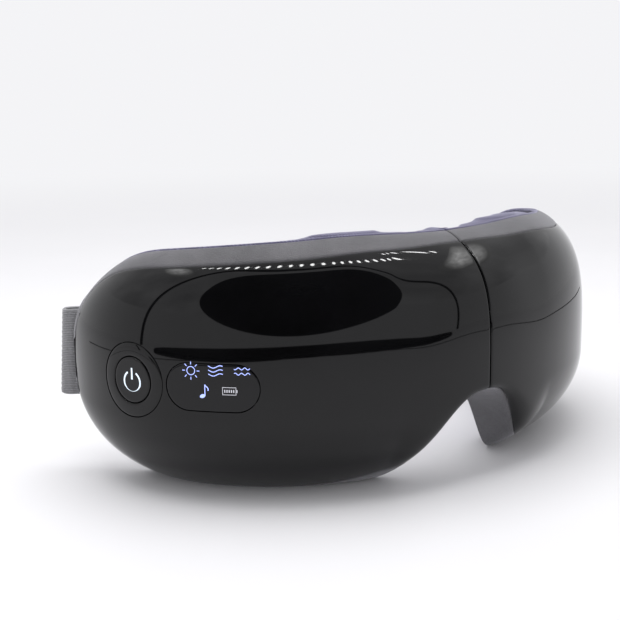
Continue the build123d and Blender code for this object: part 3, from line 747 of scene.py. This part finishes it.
def stroke(points, width, closed=False):
    """Left and right sides of a stroke along points (u right, v up, in mm)."""
    p = np.array(points, float)
    t = (np.roll(p, -1, 0) - np.roll(p, 1, 0)) if closed else np.gradient(p, axis=0)
    t /= np.linalg.norm(t, axis=1)[:, None] + 1e-9
    n = np.stack([-t[:, 1], t[:, 0]], axis=1) * width / 2
    return p + n, p - n, closed


def icon(name, s0, z0, strokes, fills, material, body="left_pod", proud=0.05):
    """Lit symbol that lies on the surface; u runs to the viewer's right."""
    verts, faces = [], []
    for one, two, closed in strokes:
        n, base = len(one), len(verts)
        for row in (one, two):
            for level in (proud, proud - 0.12):
                verts += list(front(-1, s0 - row[:, 0], z0 + row[:, 1], level))
        last = n if closed else n - 1
        for i in range(last):
            j = (i + 1) % n
            faces.append((base + i, base + j, base + 2 * n + j, base + 2 * n + i))
            faces.append((base + n + i, base + n + j, base + j, base + i))
            faces.append((base + 2 * n + i, base + 2 * n + j, base + 3 * n + j, base + 3 * n + i))
    for fill in fills:
        f = np.array(fill)
        base, n = len(verts), len(f)
        verts += list(front(-1, s0 - f[:, 0], z0 + f[:, 1], proud)) + list(
            front(-1, s0 - f[:, 0], z0 + f[:, 1], proud - 0.12))
        faces.append(tuple(range(base, base + n)))
        faces += [(base + i, base + (i + 1) % n, base + n + (i + 1) % n, base + n + i) for i in range(n)]
    obj = new_object(name, verts, faces, False)
    clean(obj)
    finish_piece(obj, material, body, None)


def arc_points(cx, cy, radius, first, last, count=48):
    return [
        (cx + radius * math.cos(math.radians(first + (last - first) * i / count)),
         cy + radius * math.sin(math.radians(first + (last - first) * i / count)))
        for i in range(count + 1)
    ]


def line_points(a, b, count=8):
    return [(a[0] + (b[0] - a[0]) * i / count, a[1] + (b[1] - a[1]) * i / count) for i in range(count + 1)]


def wave_points(width, cycles, height, v0, phase=0.0, count=60):
    return [
        (-width / 2 + width * i / count, v0 + height / 2 * math.sin(2 * math.pi * cycles * i / count + phase))
        for i in range(count + 1)
    ]


icon("power_symbol", BUTTON_S, CONTROL_Z,
     [stroke(arc_points(0, -0.65, 3.35, 120, 420), 0.6), stroke(line_points((0, 0.1), (0, 4.1)), 0.62)], [],
         POWER_ICON,
     "power_button", -0.19)
sun = [stroke(arc_points(0, 0, 1.3, 0, 350), 0.22, True)]
for k in range(8):
    a = math.radians(45 * k)
    sun.append(stroke(
        line_points((1.95 * math.cos(a), 1.95 * math.sin(a)), (2.85 * math.cos(a), 2.85 * math.sin(a)), 3),
            0.22))
icon("sun_symbol", 101.2, 44.8, sun, [], ICON)
icon("waves_symbol", 93.2, 45.1,
    [stroke(wave_points(4.6, 1.0, 0.8, v, 2.6), 0.24) for v in (-1.25, 0.0, 1.25)], [], ICON)
icon("vibration_symbol", 84.9, 45.1,
     [stroke(wave_points(4.9, 2.5, 0.62, v, p), 0.22) for v, p in ((-0.82, 0.4), (0.82, 3.5))], [], ICON)
icon("note_symbol", 97.1, 38.4,
     [stroke(line_points((0.35, -1.3), (0.35, 2.25), 6), 0.26),
      stroke([(0.35, 2.2), (0.7, 1.7), (1.2, 1.35), (1.45, 0.8), (1.35, 0.3)], 0.3)],
     [[
         (-0.45 + 0.88 * math.cos(a), -1.45 + 0.6 * math.sin(a) + 0.2 * math.cos(a))
         for a in np.linspace(0, 2 * math.pi, 25)[:-1]
     ]],
     ICON)
case = [(-2.2, -1.15), (2.0, -1.15), (2.0, 1.15), (-2.2, 1.15)]
edges = []
for k in range(4):
    a, b = case[k], case[(k + 1) % 4]
    pad = 0.08 if a[1] == b[1] else -0.0
    edges.append(
        stroke(line_points((a[0] - math.copysign(pad, b[0] - a[0]), a[1]),
            (b[0] + math.copysign(pad, b[0] - a[0]), b[1])), 0.16))
bars = [
    [(u - 0.17, -0.45), (u + 0.17, -0.45), (u + 0.17, 0.45), (u - 0.17, 0.45)]
    for u in (-1.5, -0.8, -0.10, 0.60, 1.30)
]
icon("battery_symbol", 88.9, 38.8, edges + [stroke(line_points((2.3, -0.45), (2.3, 0.45)), 0.28)], bars,
    BATTERY_ICON)


# ------------------------------------------------------------------ eye pads
def locate(points):
    """s, depth and height of points given in metres on a pod."""
    x, y, z = np.abs(points[:, 0]) * 1000, points[:, 1] * 1000 + MIDDLE_DEPTH, points[:, 2] * 1000
    table = np.linspace(0.0, 168.0, 1400)
    ox, oy, nx, ny = outline(table)
    s = np.empty(len(x))
    for i in range(0, len(x), 2000):
        j = slice(i, i + 2000)
        dx, dy = x[j, None] - ox, y[j, None] - oy
        depth = dx * nx + dy * ny
        off = np.abs(-dx * ny + dy * nx) + np.where((depth < -3) | (depth > 45), 99.0, 0.0)
        s[j] = table[np.argmin(off, axis=1)]
    ox, oy, nx, ny = outline(s)
    return s, (x - ox) * nx + (y - oy) * ny, z


def pad_loop(s, count=56):
    """Closed section of the cushion at s: (depth, z)."""
    low, high, _, thick, _ = [float(v) for v in pod_size(s)]
    top_depth, bottom_depth = [float(v) + 0.25 for v in rim_edges(s)]
    zb = float(surface_point(s, lean_at(s, bottom_depth, False))[1])
    zt = float(surface_point(s, lean_at(s, top_depth, True))[1])
    behind = 32.8 * (1.0 - np.clip(max(s - 11.0, 0) / 35.5, 0, 1) ** 2.44) ** 2.73
    back = max(behind, low) - BASE_TRIM
    lower = 0.6 + 1.2 * float(smooth((s - 50.0) / 50.0))
    pts = [
        (bottom_depth, max(zb, 0.0) + 0.4), (top_depth, zt - 0.5), (top_depth + 2.2, zt + 0.45 - lower),
            (thick - 3.5, high - 3.7 - lower),
        (thick - 0.7, high - 5.6 - lower), (thick, high - 10.6), (thick + 0.3, (high + back) / 2),
            (thick, max(back, 0.0) + 9.0),
        (thick - 1.0, max(back, 0.0) + 3.4), (thick - 3.2, max(back, 0.0) + 1.0),
    ]
    for _ in range(2):
        out = []
        for i in range(len(pts)):
            a, b = pts[i], pts[(i + 1) % len(pts)]
            out += [(a[0] * 0.75 + b[0] * 0.25, a[1] * 0.75 + b[1] * 0.25),
                (a[0] * 0.25 + b[0] * 0.75, a[1] * 0.25 + b[1] * 0.75)]
        pts = out
    pts = np.array(pts + [pts[0]])
    run = np.concatenate([[0], np.cumsum(np.linalg.norm(np.diff(pts, axis=0), axis=1))])
    at = np.linspace(0, run[-1], count, endpoint=False)
    return np.interp(at, run, pts[:, 0]), np.interp(at, run, pts[:, 1])


def dish_depth(s, z):
    u = 1.0 - ((s - 45.0) / 25.0) ** 2 - ((z - 43.0) / 17.5) ** 2
    return 5.6 * smooth(u / 0.42)


def in_v(points):
    """Keeps points out of the gap that closes when the mask folds."""
    y = points[:, 1] * 1000 + MIDDLE_DEPTH
    least = (3.7 + np.maximum(y - 22.0, 0) * 1.17) / 1000
    low = np.where(y > 17.5, least, 0.0005)
    points[:, 0] = np.where(np.abs(points[:, 0]) < low, np.sign(points[:, 0]) * low, points[:, 0])
    return points


def pad_back(side, s, z, proud=0.0):
    """Point on the cushion's back."""
    thick = pod_size(s)[3]
    return world(side, s, thick + 0.1 - dish_depth(s, z) + proud, z)


def eye_pad(side_name, side):
    stations = np.concatenate([np.linspace(3.6, 40, 20), np.linspace(42.5, 145, 42), [147.5, 149.0]])
    verts = []
    for i, s in enumerate(stations):
        d, z = pad_loop(float(s))
        thick = float(pod_size(s)[3])
        rear = smooth((d - (thick - 4.0)) / 3.0)
        d = d - dish_depth(s, z) * rear
        if i in (0, len(stations) - 1):
            mid = np.array([d.mean(), z.mean()])
            d, z = mid[0] + (d - mid[0]) * 0.93, mid[1] + (z - mid[1]) * 0.97
        verts += list(world(side, float(s), d, z))
    n = 56
    faces = grid_faces(len(stations), n, close_cols=True)
    faces += [tuple(range(n)), tuple(range((len(stations) - 1) * n, len(stations) * n))]
    base = new_object(f"pad_{side_name}", verts, faces)
    clean(base)
    remesh = modifier(base, "REMESH", mode="VOXEL", voxel_size=0.0038)
    remesh.use_smooth_shade = True
    apply_all(base)
    rest = np.array([v.co[:] for v in base.data.vertices])
    rest = in_v(rest)
    base.data.vertices.foreach_set("co", rest.ravel())
    cloth = modifier(base, "CLOTH", name="cloth")
    cloth.settings.quality = 6
    cloth.settings.mass = 0.2
    cloth.settings.tension_stiffness = 18
    cloth.settings.compression_stiffness = 18
    cloth.settings.shear_stiffness = 8
    cloth.settings.bending_stiffness = 1.2
    cloth.settings.use_pressure = True
    cloth.settings.uniform_pressure_force = 4.0
    cloth.settings.effector_weights.gravity = 0
    cloth.collision_settings.use_collision = False
    cloth.point_cache.frame_start = 1
    cloth.point_cache.frame_end = 20
    for f in range(1, 21):
        bpy.context.scene.frame_set(f)
    deps = bpy.context.evaluated_depsgraph_get()
    posed = base.evaluated_get(deps).to_mesh()
    moved = np.array([v.co[:] for v in posed.vertices])
    base.evaluated_get(deps).to_mesh_clear()
    base.modifiers.clear()
    shift = moved - rest
    size = np.linalg.norm(shift, axis=1)[:, None] + 1e-9
    shift = shift / size * np.minimum(size, np.where(rest[:, 2:3] > 0.07, 0.0004, 0.0013))
    s, depth, z = locate(rest)
    top, bottom = rim_edges(s)
    edge = np.where(z > 40, top, bottom)
    loose = smooth((depth - edge - 0.6) / 5.0)[:, None]
    rest = rest + shift * loose
    pull = 0.0003 * np.sin(s * 0.83)[:, None] * loose * smooth((19.0 - z) / 8)[:, None]
    rest[:, 2:3] -= pull * np.sign(z - 43)[:, None]
    rest[:, 2] = np.maximum(rest[:, 2], 0.0002)
    base.data.vertices.foreach_set("co", in_v(rest).ravel())
    modifier(base, "SMOOTH", factor=0.5, iterations=3)
    modifier(base, "SUBSURF", levels=1, render_levels=1)
    apply_all(base)
    final = in_v(np.array([v.co[:] for v in base.data.vertices]))
    base.data.vertices.foreach_set("co", final.ravel())
    finish_piece(base, FABRIC, f"{side_name}_pod", "pad_fabric", f"eye_pad_{side_name}")
    return base


def on_top(side, s):
    """Point on top of the cushion, just behind the leather."""
    edge = rim_edges(s)[0]
    z = surface_point(s, lean_at(s, edge, True))[1]
    return world(side, s, edge + 0.6, z - 0.6)


def laid_on(tree, points, proud):
    """Points moved to the nearest place on the cushion, standing proud by so many metres."""
    out = []
    for p in points:
        spot, normal, _, _ = tree.find_nearest(Vector(p))
        out.append(np.array(spot + normal * proud))
    return np.array(out)


for side_name, side in SIDES:
    pad = eye_pad(side_name, side)
    tree = BVHTree.FromPolygons([v.co for v in pad.data.vertices], [p.vertices[:] for p in pad.data.polygons])
    body = f"{side_name}_pod"
    # piping where the fabric meets the leather
    s = np.concatenate([np.linspace(0.45, 36, 40), np.linspace(37, 148.5, 110)])
    obj = tube(f"top_piping_{side_name}", on_top(side, s), 0.0008, sides=10)
    finish_piece(obj, FABRIC, body, "pad_fabric")
    # seam round the cushion's back, in the darker painted-shade copy of the pad fabric, with stitches beside
    # it
    s = np.linspace(26, 141, 130)
    _, high, _, thick, _ = pod_size(s)
    obj = tube(f"back_piping_{side_name}", laid_on(tree, world(side, s, thick + 0.4, high - 9.2), 0.0001),
        0.0006, sides=8)
    finish_piece(obj, PAINTED_SHADE_FABRIC, body, "pad_fabric")
    stitches = []
    for k in range(58):
        t = 28.0 + k * 1.9 + np.array([0.0, 0.35, 0.75, 1.1])
        _, high, _, thick, _ = pod_size(t)
        spots = laid_on(tree, world(side, t, thick + 0.3, high - 11.2), 0.00006)
        stitches.append(tube("stitch", spots, np.array([0.08, 0.24, 0.24, 0.08]) / 1000, sides=6))
    obj = join(f"back_stitches_{side_name}", stitches)
    finish_piece(obj, THREAD, body, "pad_fabric")
    # dish: a sewn panel with a cord and a line of stitches round it; panel and cord carry painted shade, a
    # darker copy of the pad fabric
    angles = np.linspace(0, 2 * math.pi, 97)[:-1]
    turn = [np.cos(angles), np.sin(angles)]
    ring_points = laid_on(tree, pad_back(side, 45.0 + 23.0 * turn[0], 43.0 + 16.0 * turn[1], 0.3), 0.0003)
    obj = tube(f"dish_cord_{side_name}", ring_points, 0.0008, closed=True)
    finish_piece(obj, PAINTED_SHADE_FABRIC, body, "pad_fabric")
    stitches = []
    for k in range(64):
        a = 2 * math.pi * (k + np.array([0.0, 0.25, 0.5, 0.7])) / 64
        spots = laid_on(tree, pad_back(side, 45.0 + 25.6 * np.cos(a), 43.0 + 18.4 * np.sin(a), 0.3), 0.00006)
        stitches.append(tube("stitch", spots, np.array([0.08, 0.22, 0.22, 0.08]) / 1000, sides=6))
    obj = join(f"dish_stitches_{side_name}", stitches)
    finish_piece(obj, THREAD, body, "pad_fabric")
    verts = []
    for r in np.linspace(0.03, 0.95, 18):
        flat = laid_on(tree, pad_back(side, 45.0 + 23.0 * r * turn[0], 43.0 + 16.0 * r * turn[1], 0.3),
            0.0004 + 0.0003 * math.cos(r * 9.0))
        verts += list(flat)
    obj = new_object(f"dish_panel_{side_name}", verts,
        grid_faces(18, 96, close_cols=True) + [tuple(range(96))])
    clean(obj)
    modifier(obj, "SMOOTH", factor=0.5, iterations=4)
    apply_all(obj)
    finish_piece(obj, PAINTED_SHADE_FABRIC, body, "pad_fabric")


# ------------------------------------------------------------------ strap halves
def curve_through(knots, count):
    """Catmull-Rom curve through plan points, resampled to even steps."""
    k = np.array(knots, float)
    k = np.vstack([2 * k[0] - k[1], k, 2 * k[-1] - k[-2]])
    out = []
    for i in range(1, len(k) - 2):
        for t in np.linspace(0, 1, 24, endpoint=False):
            a, b, c, d = k[i - 1], k[i], k[i + 1], k[i + 2]
            out.append(0.5 * (
                2 * b + (c - a) * t + (2 * a - 5 * b + 4 * c - d) * t ** 2
                + (3 * b - a - 3 * c + d) * t ** 3))
    out.append(k[-2])
    out = np.array(out)
    run = np.concatenate([[0], np.cumsum(np.linalg.norm(np.diff(out, axis=0), axis=1))])
    at = np.linspace(0, run[-1], count)
    return np.stack([np.interp(at, run, out[:, 0]), np.interp(at, run, out[:, 1])], axis=1), run[-1]


BAR = (93.57, 87.75)
STRAP_KNOTS = [
    (BAR[0] + 2.42 * math.cos(math.radians(a)), BAR[1] + 2.42 * math.sin(math.radians(a)))
    for a in range(50, -271, -32)
]
STRAP_KNOTS += [
    (93.4, 94.6), (94.6, 99.2), (97.0, 101.9), (99.6, 103.4), (100.9, 105.6), (99.8, 108.0), (96.8, 108.0),
    (91.8, 104.4), (83.5, 97.6), (75.6, 89.6), (70.2, 81.5), (66.6, 73.5), (62.0, 66.0),
]
STRAP_LOW, STRAP_WIDTH = 25.7, 30.0

for side_name, side in SIDES:
    path, length = curve_through(STRAP_KNOTS, 190)
    ahead = np.gradient(path, axis=0)
    ahead /= np.linalg.norm(ahead, axis=1)[:, None]
    aside = np.stack([-ahead[:, 1], ahead[:, 0]], axis=1)
    across = np.linspace(0, 1, 74)
    verts = []
    for face in (1, -1):
        for i in range(len(path)):
            for j, w in enumerate(across):
                rib = 0.075 * math.cos(w * math.pi * 2 * 18) + 0.04 * math.cos(i * 1.9 + j)
                edge = min(w, 1 - w) * STRAP_WIDTH
                half = 0.62 * (1 - max(0.0, 1 - edge / 0.7) ** 2) ** 0.5 + rib * min(edge / 1.2, 1)
                p = path[i] + aside[i] * half * face
                sag = 0.35 * math.sin(i * 0.055) * (w - 0.5)
                tilt = 2.2 * (0.5 - w) * float(
                    smooth((path[i][1] - 95.0) / 6.0) * smooth((path[i][0] - 84.0) / 10.0))
                height = (STRAP_LOW + w * STRAP_WIDTH + sag) / 1000
                verts.append((side * (p[0] + tilt) / 1000, (p[1] - MIDDLE_DEPTH) / 1000, height))
    n, m = len(path), len(across)
    faces = grid_faces(n, m) + grid_faces(n, m, offset=n * m)
    for i in (0, n - 1):
        faces += [(i * m + j, i * m + j + 1, n * m + i * m + j + 1, n * m + i * m + j) for j in range(m - 1)]
    obj = new_object(f"webbing_{side_name}", verts, faces)
    clean(obj, 0.00001)
    finish_piece(obj, KNIT, f"{side_name}_pod", "strap_knit", f"strap_{side_name}")
    # stitched hems along the free end
    hems = []
    for row in (0, 1):
        for k in range(17):
            z = (STRAP_LOW + 2.2 + k * 1.6) / 1000
            p = path[-4 - 5 * row]
            for face in (1, -1):
                q = p + aside[-4 - 5 * row] * 0.72 * face
                hems.append(tube("stitch",
                    [(side * q[0] / 1000, (q[1] - MIDDLE_DEPTH) / 1000, z + e) for e in (0, 0.0004, 0.0009)],
                                 np.array([0.06, 0.17, 0.06]) / 1000, sides=5))
    hem = join(f"hem_stitches_{side_name}", hems)
    finish_piece(hem, THREAD, f"{side_name}_pod", "strap_knit")


# ------------------------------------------------------------------ fabric across the fold
def bridge():
    """Soft strip over the top and down the back of the hinge."""
    xs = np.linspace(-1, 1, 33)
    top = float(on_top(1, np.array([1.0]))[0, 2]) * 1000 + 0.5
    profile = [(31.4, z) for z in np.linspace(36.0, top - 2.4, 30)]
    profile += [
        (31.4 - 2.4 * (1 - math.cos(a)), top - 2.4 + 2.4 * math.sin(a))
        for a in np.radians(np.linspace(10, 90, 9))
    ]
    profile += [(y, top + 0.05 * (28.8 - y)) for y in np.linspace(28.2, 23.2, 6)]
    verts = []
    for inner in (0.0, 0.7):
        for y, z in profile:
            roof = min(max((31.4 - y) / 2.4, 0.0), 1.0)
            for x in xs:
                wide = 7.4 - 0.42 * (31.4 - y)
                bow = (1 - roof) * 3.8 * x * x
                verts.append((x * wide / 1000, (y - bow - inner * (1 - roof) - MIDDLE_DEPTH) / 1000,
                              (z - inner * roof + 0.22 * math.cos(x * 5) - 0.5 * roof * x * x) / 1000))
    n, m = len(profile), len(xs)
    faces = grid_faces(n, m) + grid_faces(n, m, offset=n * m)
    for i in range(n - 1):
        for j in (0, m - 1):
            faces.append((i * m + j, (i + 1) * m + j, n * m + (i + 1) * m + j, n * m + i * m + j))
    for i in (0, n - 1):
        faces += [(i * m + j, i * m + j + 1, n * m + i * m + j + 1, n * m + i * m + j) for j in range(m - 1)]
    obj = new_object("fold_fabric", verts, faces)
    clean(obj)
    obj.data.materials.append(FABRIC)
    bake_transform(obj)


bridge()


# ------------------------------------------------------------------ studio: floor, light, reflected things
def revolve(name, profile, count=96):
    verts = [
        (r * math.cos(2 * math.pi * i / count), r * math.sin(2 * math.pi * i / count), z)
        for r, z in profile for i in range(count)
    ]
    faces = grid_faces(len(profile), count, close_cols=True)
    faces.append(tuple(range(count - 1, -1, -1)))
    return new_object(name, verts, faces)


profile = [(0.05, 0.0), (0.5, 0.0), (1.0, 0.0), (1.6, 0.0)] + [
    (1.6 + 0.8 * math.sin(math.radians(a)), 0.8 - 0.8 * math.cos(math.radians(a))) for a in range(6, 91, 6)
]
floor = revolve("floor", profile)
paper = Mat("floor_paper", (0.80, 0.795, 0.81), 0.6)
paper.color(paper.noise(9, 3), [(0.3, (0.795, 0.79, 0.805)), (0.7, (0.81, 0.805, 0.82))])
paper.bump(paper.noise(500, 3), 0.00004, 0.3)
away = paper.node("ShaderNodeVectorMath", operation="LENGTH")
paper.link(paper.coord, away.inputs[0])
far = paper.node("ShaderNodeMapRange", interpolation_type="SMOOTHSTEP")
far.inputs["From Min"].default_value, far.inputs["From Max"].default_value = 0.15, 1.3
paper.link(away.outputs["Value"], far.inputs["Value"])
haze = paper.node("ShaderNodeEmission")
haze.inputs["Color"].default_value = (0.905, 0.905, 0.925, 1)
blend = paper.node("ShaderNodeMixShader")
paper.link(far.outputs["Result"], blend.inputs[0])
paper.link(paper.bsdf.outputs[0], blend.inputs[1])
paper.link(haze.outputs[0], blend.inputs[2])
paper.link(blend.outputs[0], paper.tree.nodes["Material Output"].inputs["Surface"])
floor.data.materials.append(paper.mat)


def only_reflected(obj):
    """A thing outside the picture: it shows in the gloss but not to the camera."""
    obj.visible_camera = False
    obj.visible_shadow = False
    obj.visible_diffuse = False
    obj.visible_transmission = False


def area_light(name, place, target, size, watts, color=(1, 1, 1), glossy=True):
    data = bpy.data.lights.new(name, "AREA")
    data.shape = "RECTANGLE"
    data.size, data.size_y = size
    data.energy = watts
    data.color = color
    obj = bpy.data.objects.new(name, data)
    bpy.context.scene.collection.objects.link(obj)
    obj.location = place
    obj.rotation_euler = (Vector(target) - Vector(place)).to_track_quat("-Z", "Y").to_euler()
    obj.visible_camera = False
    obj.visible_glossy = glossy
    return obj


sky = bpy.data.worlds.new("tent")
sky.use_nodes = True
folds = sky.node_tree.nodes.new("ShaderNodeTexNoise")
folds.inputs["Scale"].default_value = 2.6
folds.inputs["Detail"].default_value = 4.0
tone = sky.node_tree.nodes.new("ShaderNodeValToRGB")
tone.color_ramp.elements[0].position, tone.color_ramp.elements[0].color = 0.32, (0.70, 0.70, 0.715, 1)
tone.color_ramp.elements[1].position, tone.color_ramp.elements[1].color = 0.68, (1.08, 1.08, 1.10, 1)
direction = sky.node_tree.nodes.new("ShaderNodeTexCoord")
sky.node_tree.links.new(direction.outputs["Generated"], folds.inputs["Vector"])
sky.node_tree.links.new(folds.outputs["Fac"], tone.inputs["Fac"])
sky.node_tree.links.new(tone.outputs["Color"], sky.node_tree.nodes["Background"].inputs["Color"])
sky.node_tree.nodes["Background"].inputs["Strength"].default_value = 0.95
bpy.context.scene.world = sky
area_light("ceiling", (-0.05, 0.05, 0.75), (-0.05, 0.0, 0), (0.75, 0.6), 4.0, glossy=False)

# What the gloss mirrors: the tent's front opening, its dark seam, the table's far edge with a shade
# above it, two soft gleams and two rows of small lamps. A bearing is in degrees to the right of -Y.
OPENING_BEARING, OPENING_HALF_WIDTH, OPENING_DISTANCE = -31.5, 49.5, 0.88
OPENING_HEIGHT, OPENING_RISE, OPENING_DROP = 40.0, 22.5, 35.0
OPENING_TOP_SQUARENESS, OPENING_BOTTOM_SQUARENESS = 4.0, 2.0
SEAM_BEARING, SEAM_HALF_WIDTH, SEAM_TOP = -39.5, 65.0, 66.5
SEAM_DISTANCE, SEAM_SQUARENESS = 0.8, 6.0
TABLE_RADIUS, TABLE_LEVEL = 0.325, 0.013
SHADE_BEARING, SHADE_HALF_WIDTH = -38.0, 57.0
SHADE_LEVEL, SHADE_HALF_HEIGHT, SHADE_DISTANCE = 0.029, 0.010, 0.3
GLEAM_DISTANCE = 0.62
LAMP_GLOW = 34.0
LAMP_SPOT, SHORT_LAMP_SPOT = (0.0066, 0.019), (0.004, 0.013)
LAMP_CEILING, LAMP_ARC_MIDDLE, LAMP_ARC_RADIUS = 0.6, (0.105, 0.16), 0.388
LAMP_ARC_START, LAMP_ARC_END, LAMP_COUNT = 181.0, 297.0, 22
SHORT_ROW_START, SHORT_ROW_END, SHORT_ROW_COUNT = (0.245, -0.118), (0.357, -0.061), 5
DARK = Mat("tent_dark", (0.004, 0.004, 0.004), 1.0)
DARK.color(DARK.noise(4, 3), [(0.3, (0.002, 0.002, 0.002)), (0.7, (0.006, 0.006, 0.007))])


def signed_power(value, exponent):
    return np.sign(value) * np.abs(value) ** exponent


def at_bearing(bearing, height, distance):
    """Points in those directions from the middle of the mask's base; angles in degrees."""
    bearing = np.radians(bearing)
    height = np.radians(height) + 0 * bearing
    level = np.cos(height)
    return np.stack([np.sin(bearing) * level, -np.cos(bearing) * level, np.sin(height)], axis=-1) * distance


def evenly(points, count):
    run = np.concatenate([[0], np.cumsum(np.linalg.norm(np.diff(points, axis=0), axis=1))])
    at = np.linspace(0, run[-1], count)
    return np.stack([np.interp(at, run, points[:, k]) for k in range(3)], axis=1)


def panel(name, edge, material):
    middle = edge.mean(axis=0)
    verts, rings = [], 8
    for r in range(1, rings + 1):
        verts += list(middle + (edge - middle) * r / rings)
    obj = new_object(name, verts, grid_faces(rings, len(edge), close_cols=True) + [tuple(range(len(edge)))])
    obj.data.materials.append(material)
    only_reflected(obj)


ROUND = np.linspace(0, 2 * math.pi, 96, endpoint=False)
squareness = np.where(np.sin(ROUND) > 0, OPENING_TOP_SQUARENESS, OPENING_BOTTOM_SQUARENESS)
half_height = np.where(np.sin(ROUND) > 0, OPENING_RISE, OPENING_DROP)
panel("tent_opening", at_bearing(
    OPENING_BEARING + OPENING_HALF_WIDTH * signed_power(np.cos(ROUND), 2 / squareness),
    OPENING_HEIGHT + half_height * signed_power(np.sin(ROUND), 2 / squareness), OPENING_DISTANCE), DARK.mat)

shade_edge = at_bearing(SHADE_BEARING + SHADE_HALF_WIDTH * signed_power(np.cos(ROUND), 0.5), 0.0 * ROUND,
    SHADE_DISTANCE)
shade_edge[:, 2] = SHADE_LEVEL + SHADE_HALF_HEIGHT * signed_power(np.sin(ROUND), 0.5)
panel("tent_shade", shade_edge, DARK.mat)

over = np.linspace(math.pi, 0, 1200)
seam_line = evenly(at_bearing(
    SEAM_BEARING + SEAM_HALF_WIDTH * signed_power(np.cos(over), 2 / SEAM_SQUARENESS),
    SEAM_TOP * np.sin(over).clip(0, 1) ** (2 / SEAM_SQUARENESS), SEAM_DISTANCE), 120)
seam_radii = np.interp(np.linspace(0, 1, 120), [0, 0.38, 0.48, 0.56, 0.63, 1],
    [0.012, 0.015, 0.022, 0.016, 0.009, 0.007])
table_line = at_bearing(np.linspace(-140, 105, 120), 0.0, TABLE_RADIUS)
table_line[:, 2] = TABLE_LEVEL
for obj in (tube("tent_seam", seam_line, seam_radii), tube("table_edge", table_line, 0.0007)):
    obj.data.materials.append(DARK.mat)
    only_reflected(obj)


def gleam(name, bearing, height, half_width, half_height, strength):
    """Soft bright patch, fading to its edge in streaks."""
    mat = bpy.data.materials.new(name)
    mat.use_nodes = True
    nodes, links = mat.node_tree.nodes, mat.node_tree.links
    nodes.clear()
    coord = nodes.new("ShaderNodeTexCoord")
    centred = nodes.new("ShaderNodeVectorMath")
    centred.operation = "DISTANCE"
    centred.inputs[1].default_value = (0.5, 0.5, 0.5)
    links.new(coord.outputs["Generated"], centred.inputs[0])
    streaks = nodes.new("ShaderNodeTexNoise")
    streaks.inputs["Scale"].default_value = 7.0
    streaks.inputs["Detail"].default_value = 4.0
    links.new(coord.outputs["Generated"], streaks.inputs["Vector"])
    fade = nodes.new("ShaderNodeMapRange")
    fade.inputs["From Min"].default_value, fade.inputs["From Max"].default_value = 0.55, 0.1
    links.new(centred.outputs["Value"], fade.inputs["Value"])
    product = nodes.new("ShaderNodeMath")
    product.operation = "MULTIPLY"
    links.new(fade.outputs["Result"], product.inputs[0])
    links.new(streaks.outputs["Fac"], product.inputs[1])
    scaled = nodes.new("ShaderNodeMath")
    scaled.operation = "MULTIPLY_ADD"
    scaled.inputs[1].default_value, scaled.inputs[2].default_value = strength, 0.85
    links.new(product.outputs[0], scaled.inputs[0])
    glow = nodes.new("ShaderNodeEmission")
    links.new(scaled.outputs[0], glow.inputs["Strength"])
    out = nodes.new("ShaderNodeOutputMaterial")
    links.new(glow.outputs[0], out.inputs["Surface"])
    panel(name, at_bearing(
        bearing + half_width * np.cos(ROUND), height + half_height * np.sin(ROUND), GLEAM_DISTANCE), mat)


gleam("gleam_right", 68, 50, 30, 6, 8.0)
gleam("gleam_left", -126, 53, 20, 4.5, 8.0)

lamp = make_glow("lamp", (1.0, 1.0, 1.0), LAMP_GLOW)
bearings = np.radians(np.linspace(LAMP_ARC_START, LAMP_ARC_END, LAMP_COUNT))
arc_row = np.stack([np.cos(bearings), np.sin(bearings)], axis=1) * LAMP_ARC_RADIUS + LAMP_ARC_MIDDLE
short_row = np.linspace(SHORT_ROW_START, SHORT_ROW_END, SHORT_ROW_COUNT)
verts, faces = [], []
for row, (half_length, half_width) in ((arc_row, LAMP_SPOT), (short_row, SHORT_LAMP_SPOT)):
    heading = np.gradient(row, axis=0)
    heading /= np.linalg.norm(heading, axis=1)[:, None]
    for (x, y), (dx, dy) in zip(row, heading):
        faces.append(tuple(range(len(verts), len(verts) + 12)))
        for a in np.linspace(0, 2 * math.pi, 12, endpoint=False):
            c, d = half_length * math.cos(a), half_width * math.sin(a)
            verts.append((x + dx * c - dy * d, y + dy * c + dx * d, LAMP_CEILING))
obj = new_object("lamps", verts, faces, False)
obj.data.materials.append(lamp)
only_reflected(obj)

# ------------------------------------------------------------------ camera
AZ, EL, ROLL, FOCAL = math.radians(-36.419), math.radians(11.618), math.radians(-0.869), 1142.9
spot = Vector((-0.2611, -0.30983, 0.133197))
back = Vector((math.sin(AZ) * math.cos(EL), -math.cos(AZ) * math.cos(EL), math.sin(EL)))
level = Vector((math.cos(AZ), math.sin(AZ), 0))
right = level * math.cos(ROLL) + back.cross(level) * math.sin(ROLL)
up = back.cross(right)
data = bpy.data.cameras.new("camera")
data.sensor_width = 36.0
data.lens = FOCAL * 36.0 / 620
data.dof.use_dof = False
data.clip_start, data.clip_end = 0.01, 50
camera = bpy.data.objects.new("camera", data)
bpy.context.scene.collection.objects.link(camera)
camera.matrix_world = Matrix(
    ((right.x, up.x, back.x, spot.x), (right.y, up.y, back.y, spot.y), (right.z, up.z, back.z, spot.z),
        (0, 0, 0, 1))
)
bpy.context.scene.camera = camera
bpy.context.scene.view_settings.view_transform = "Standard"
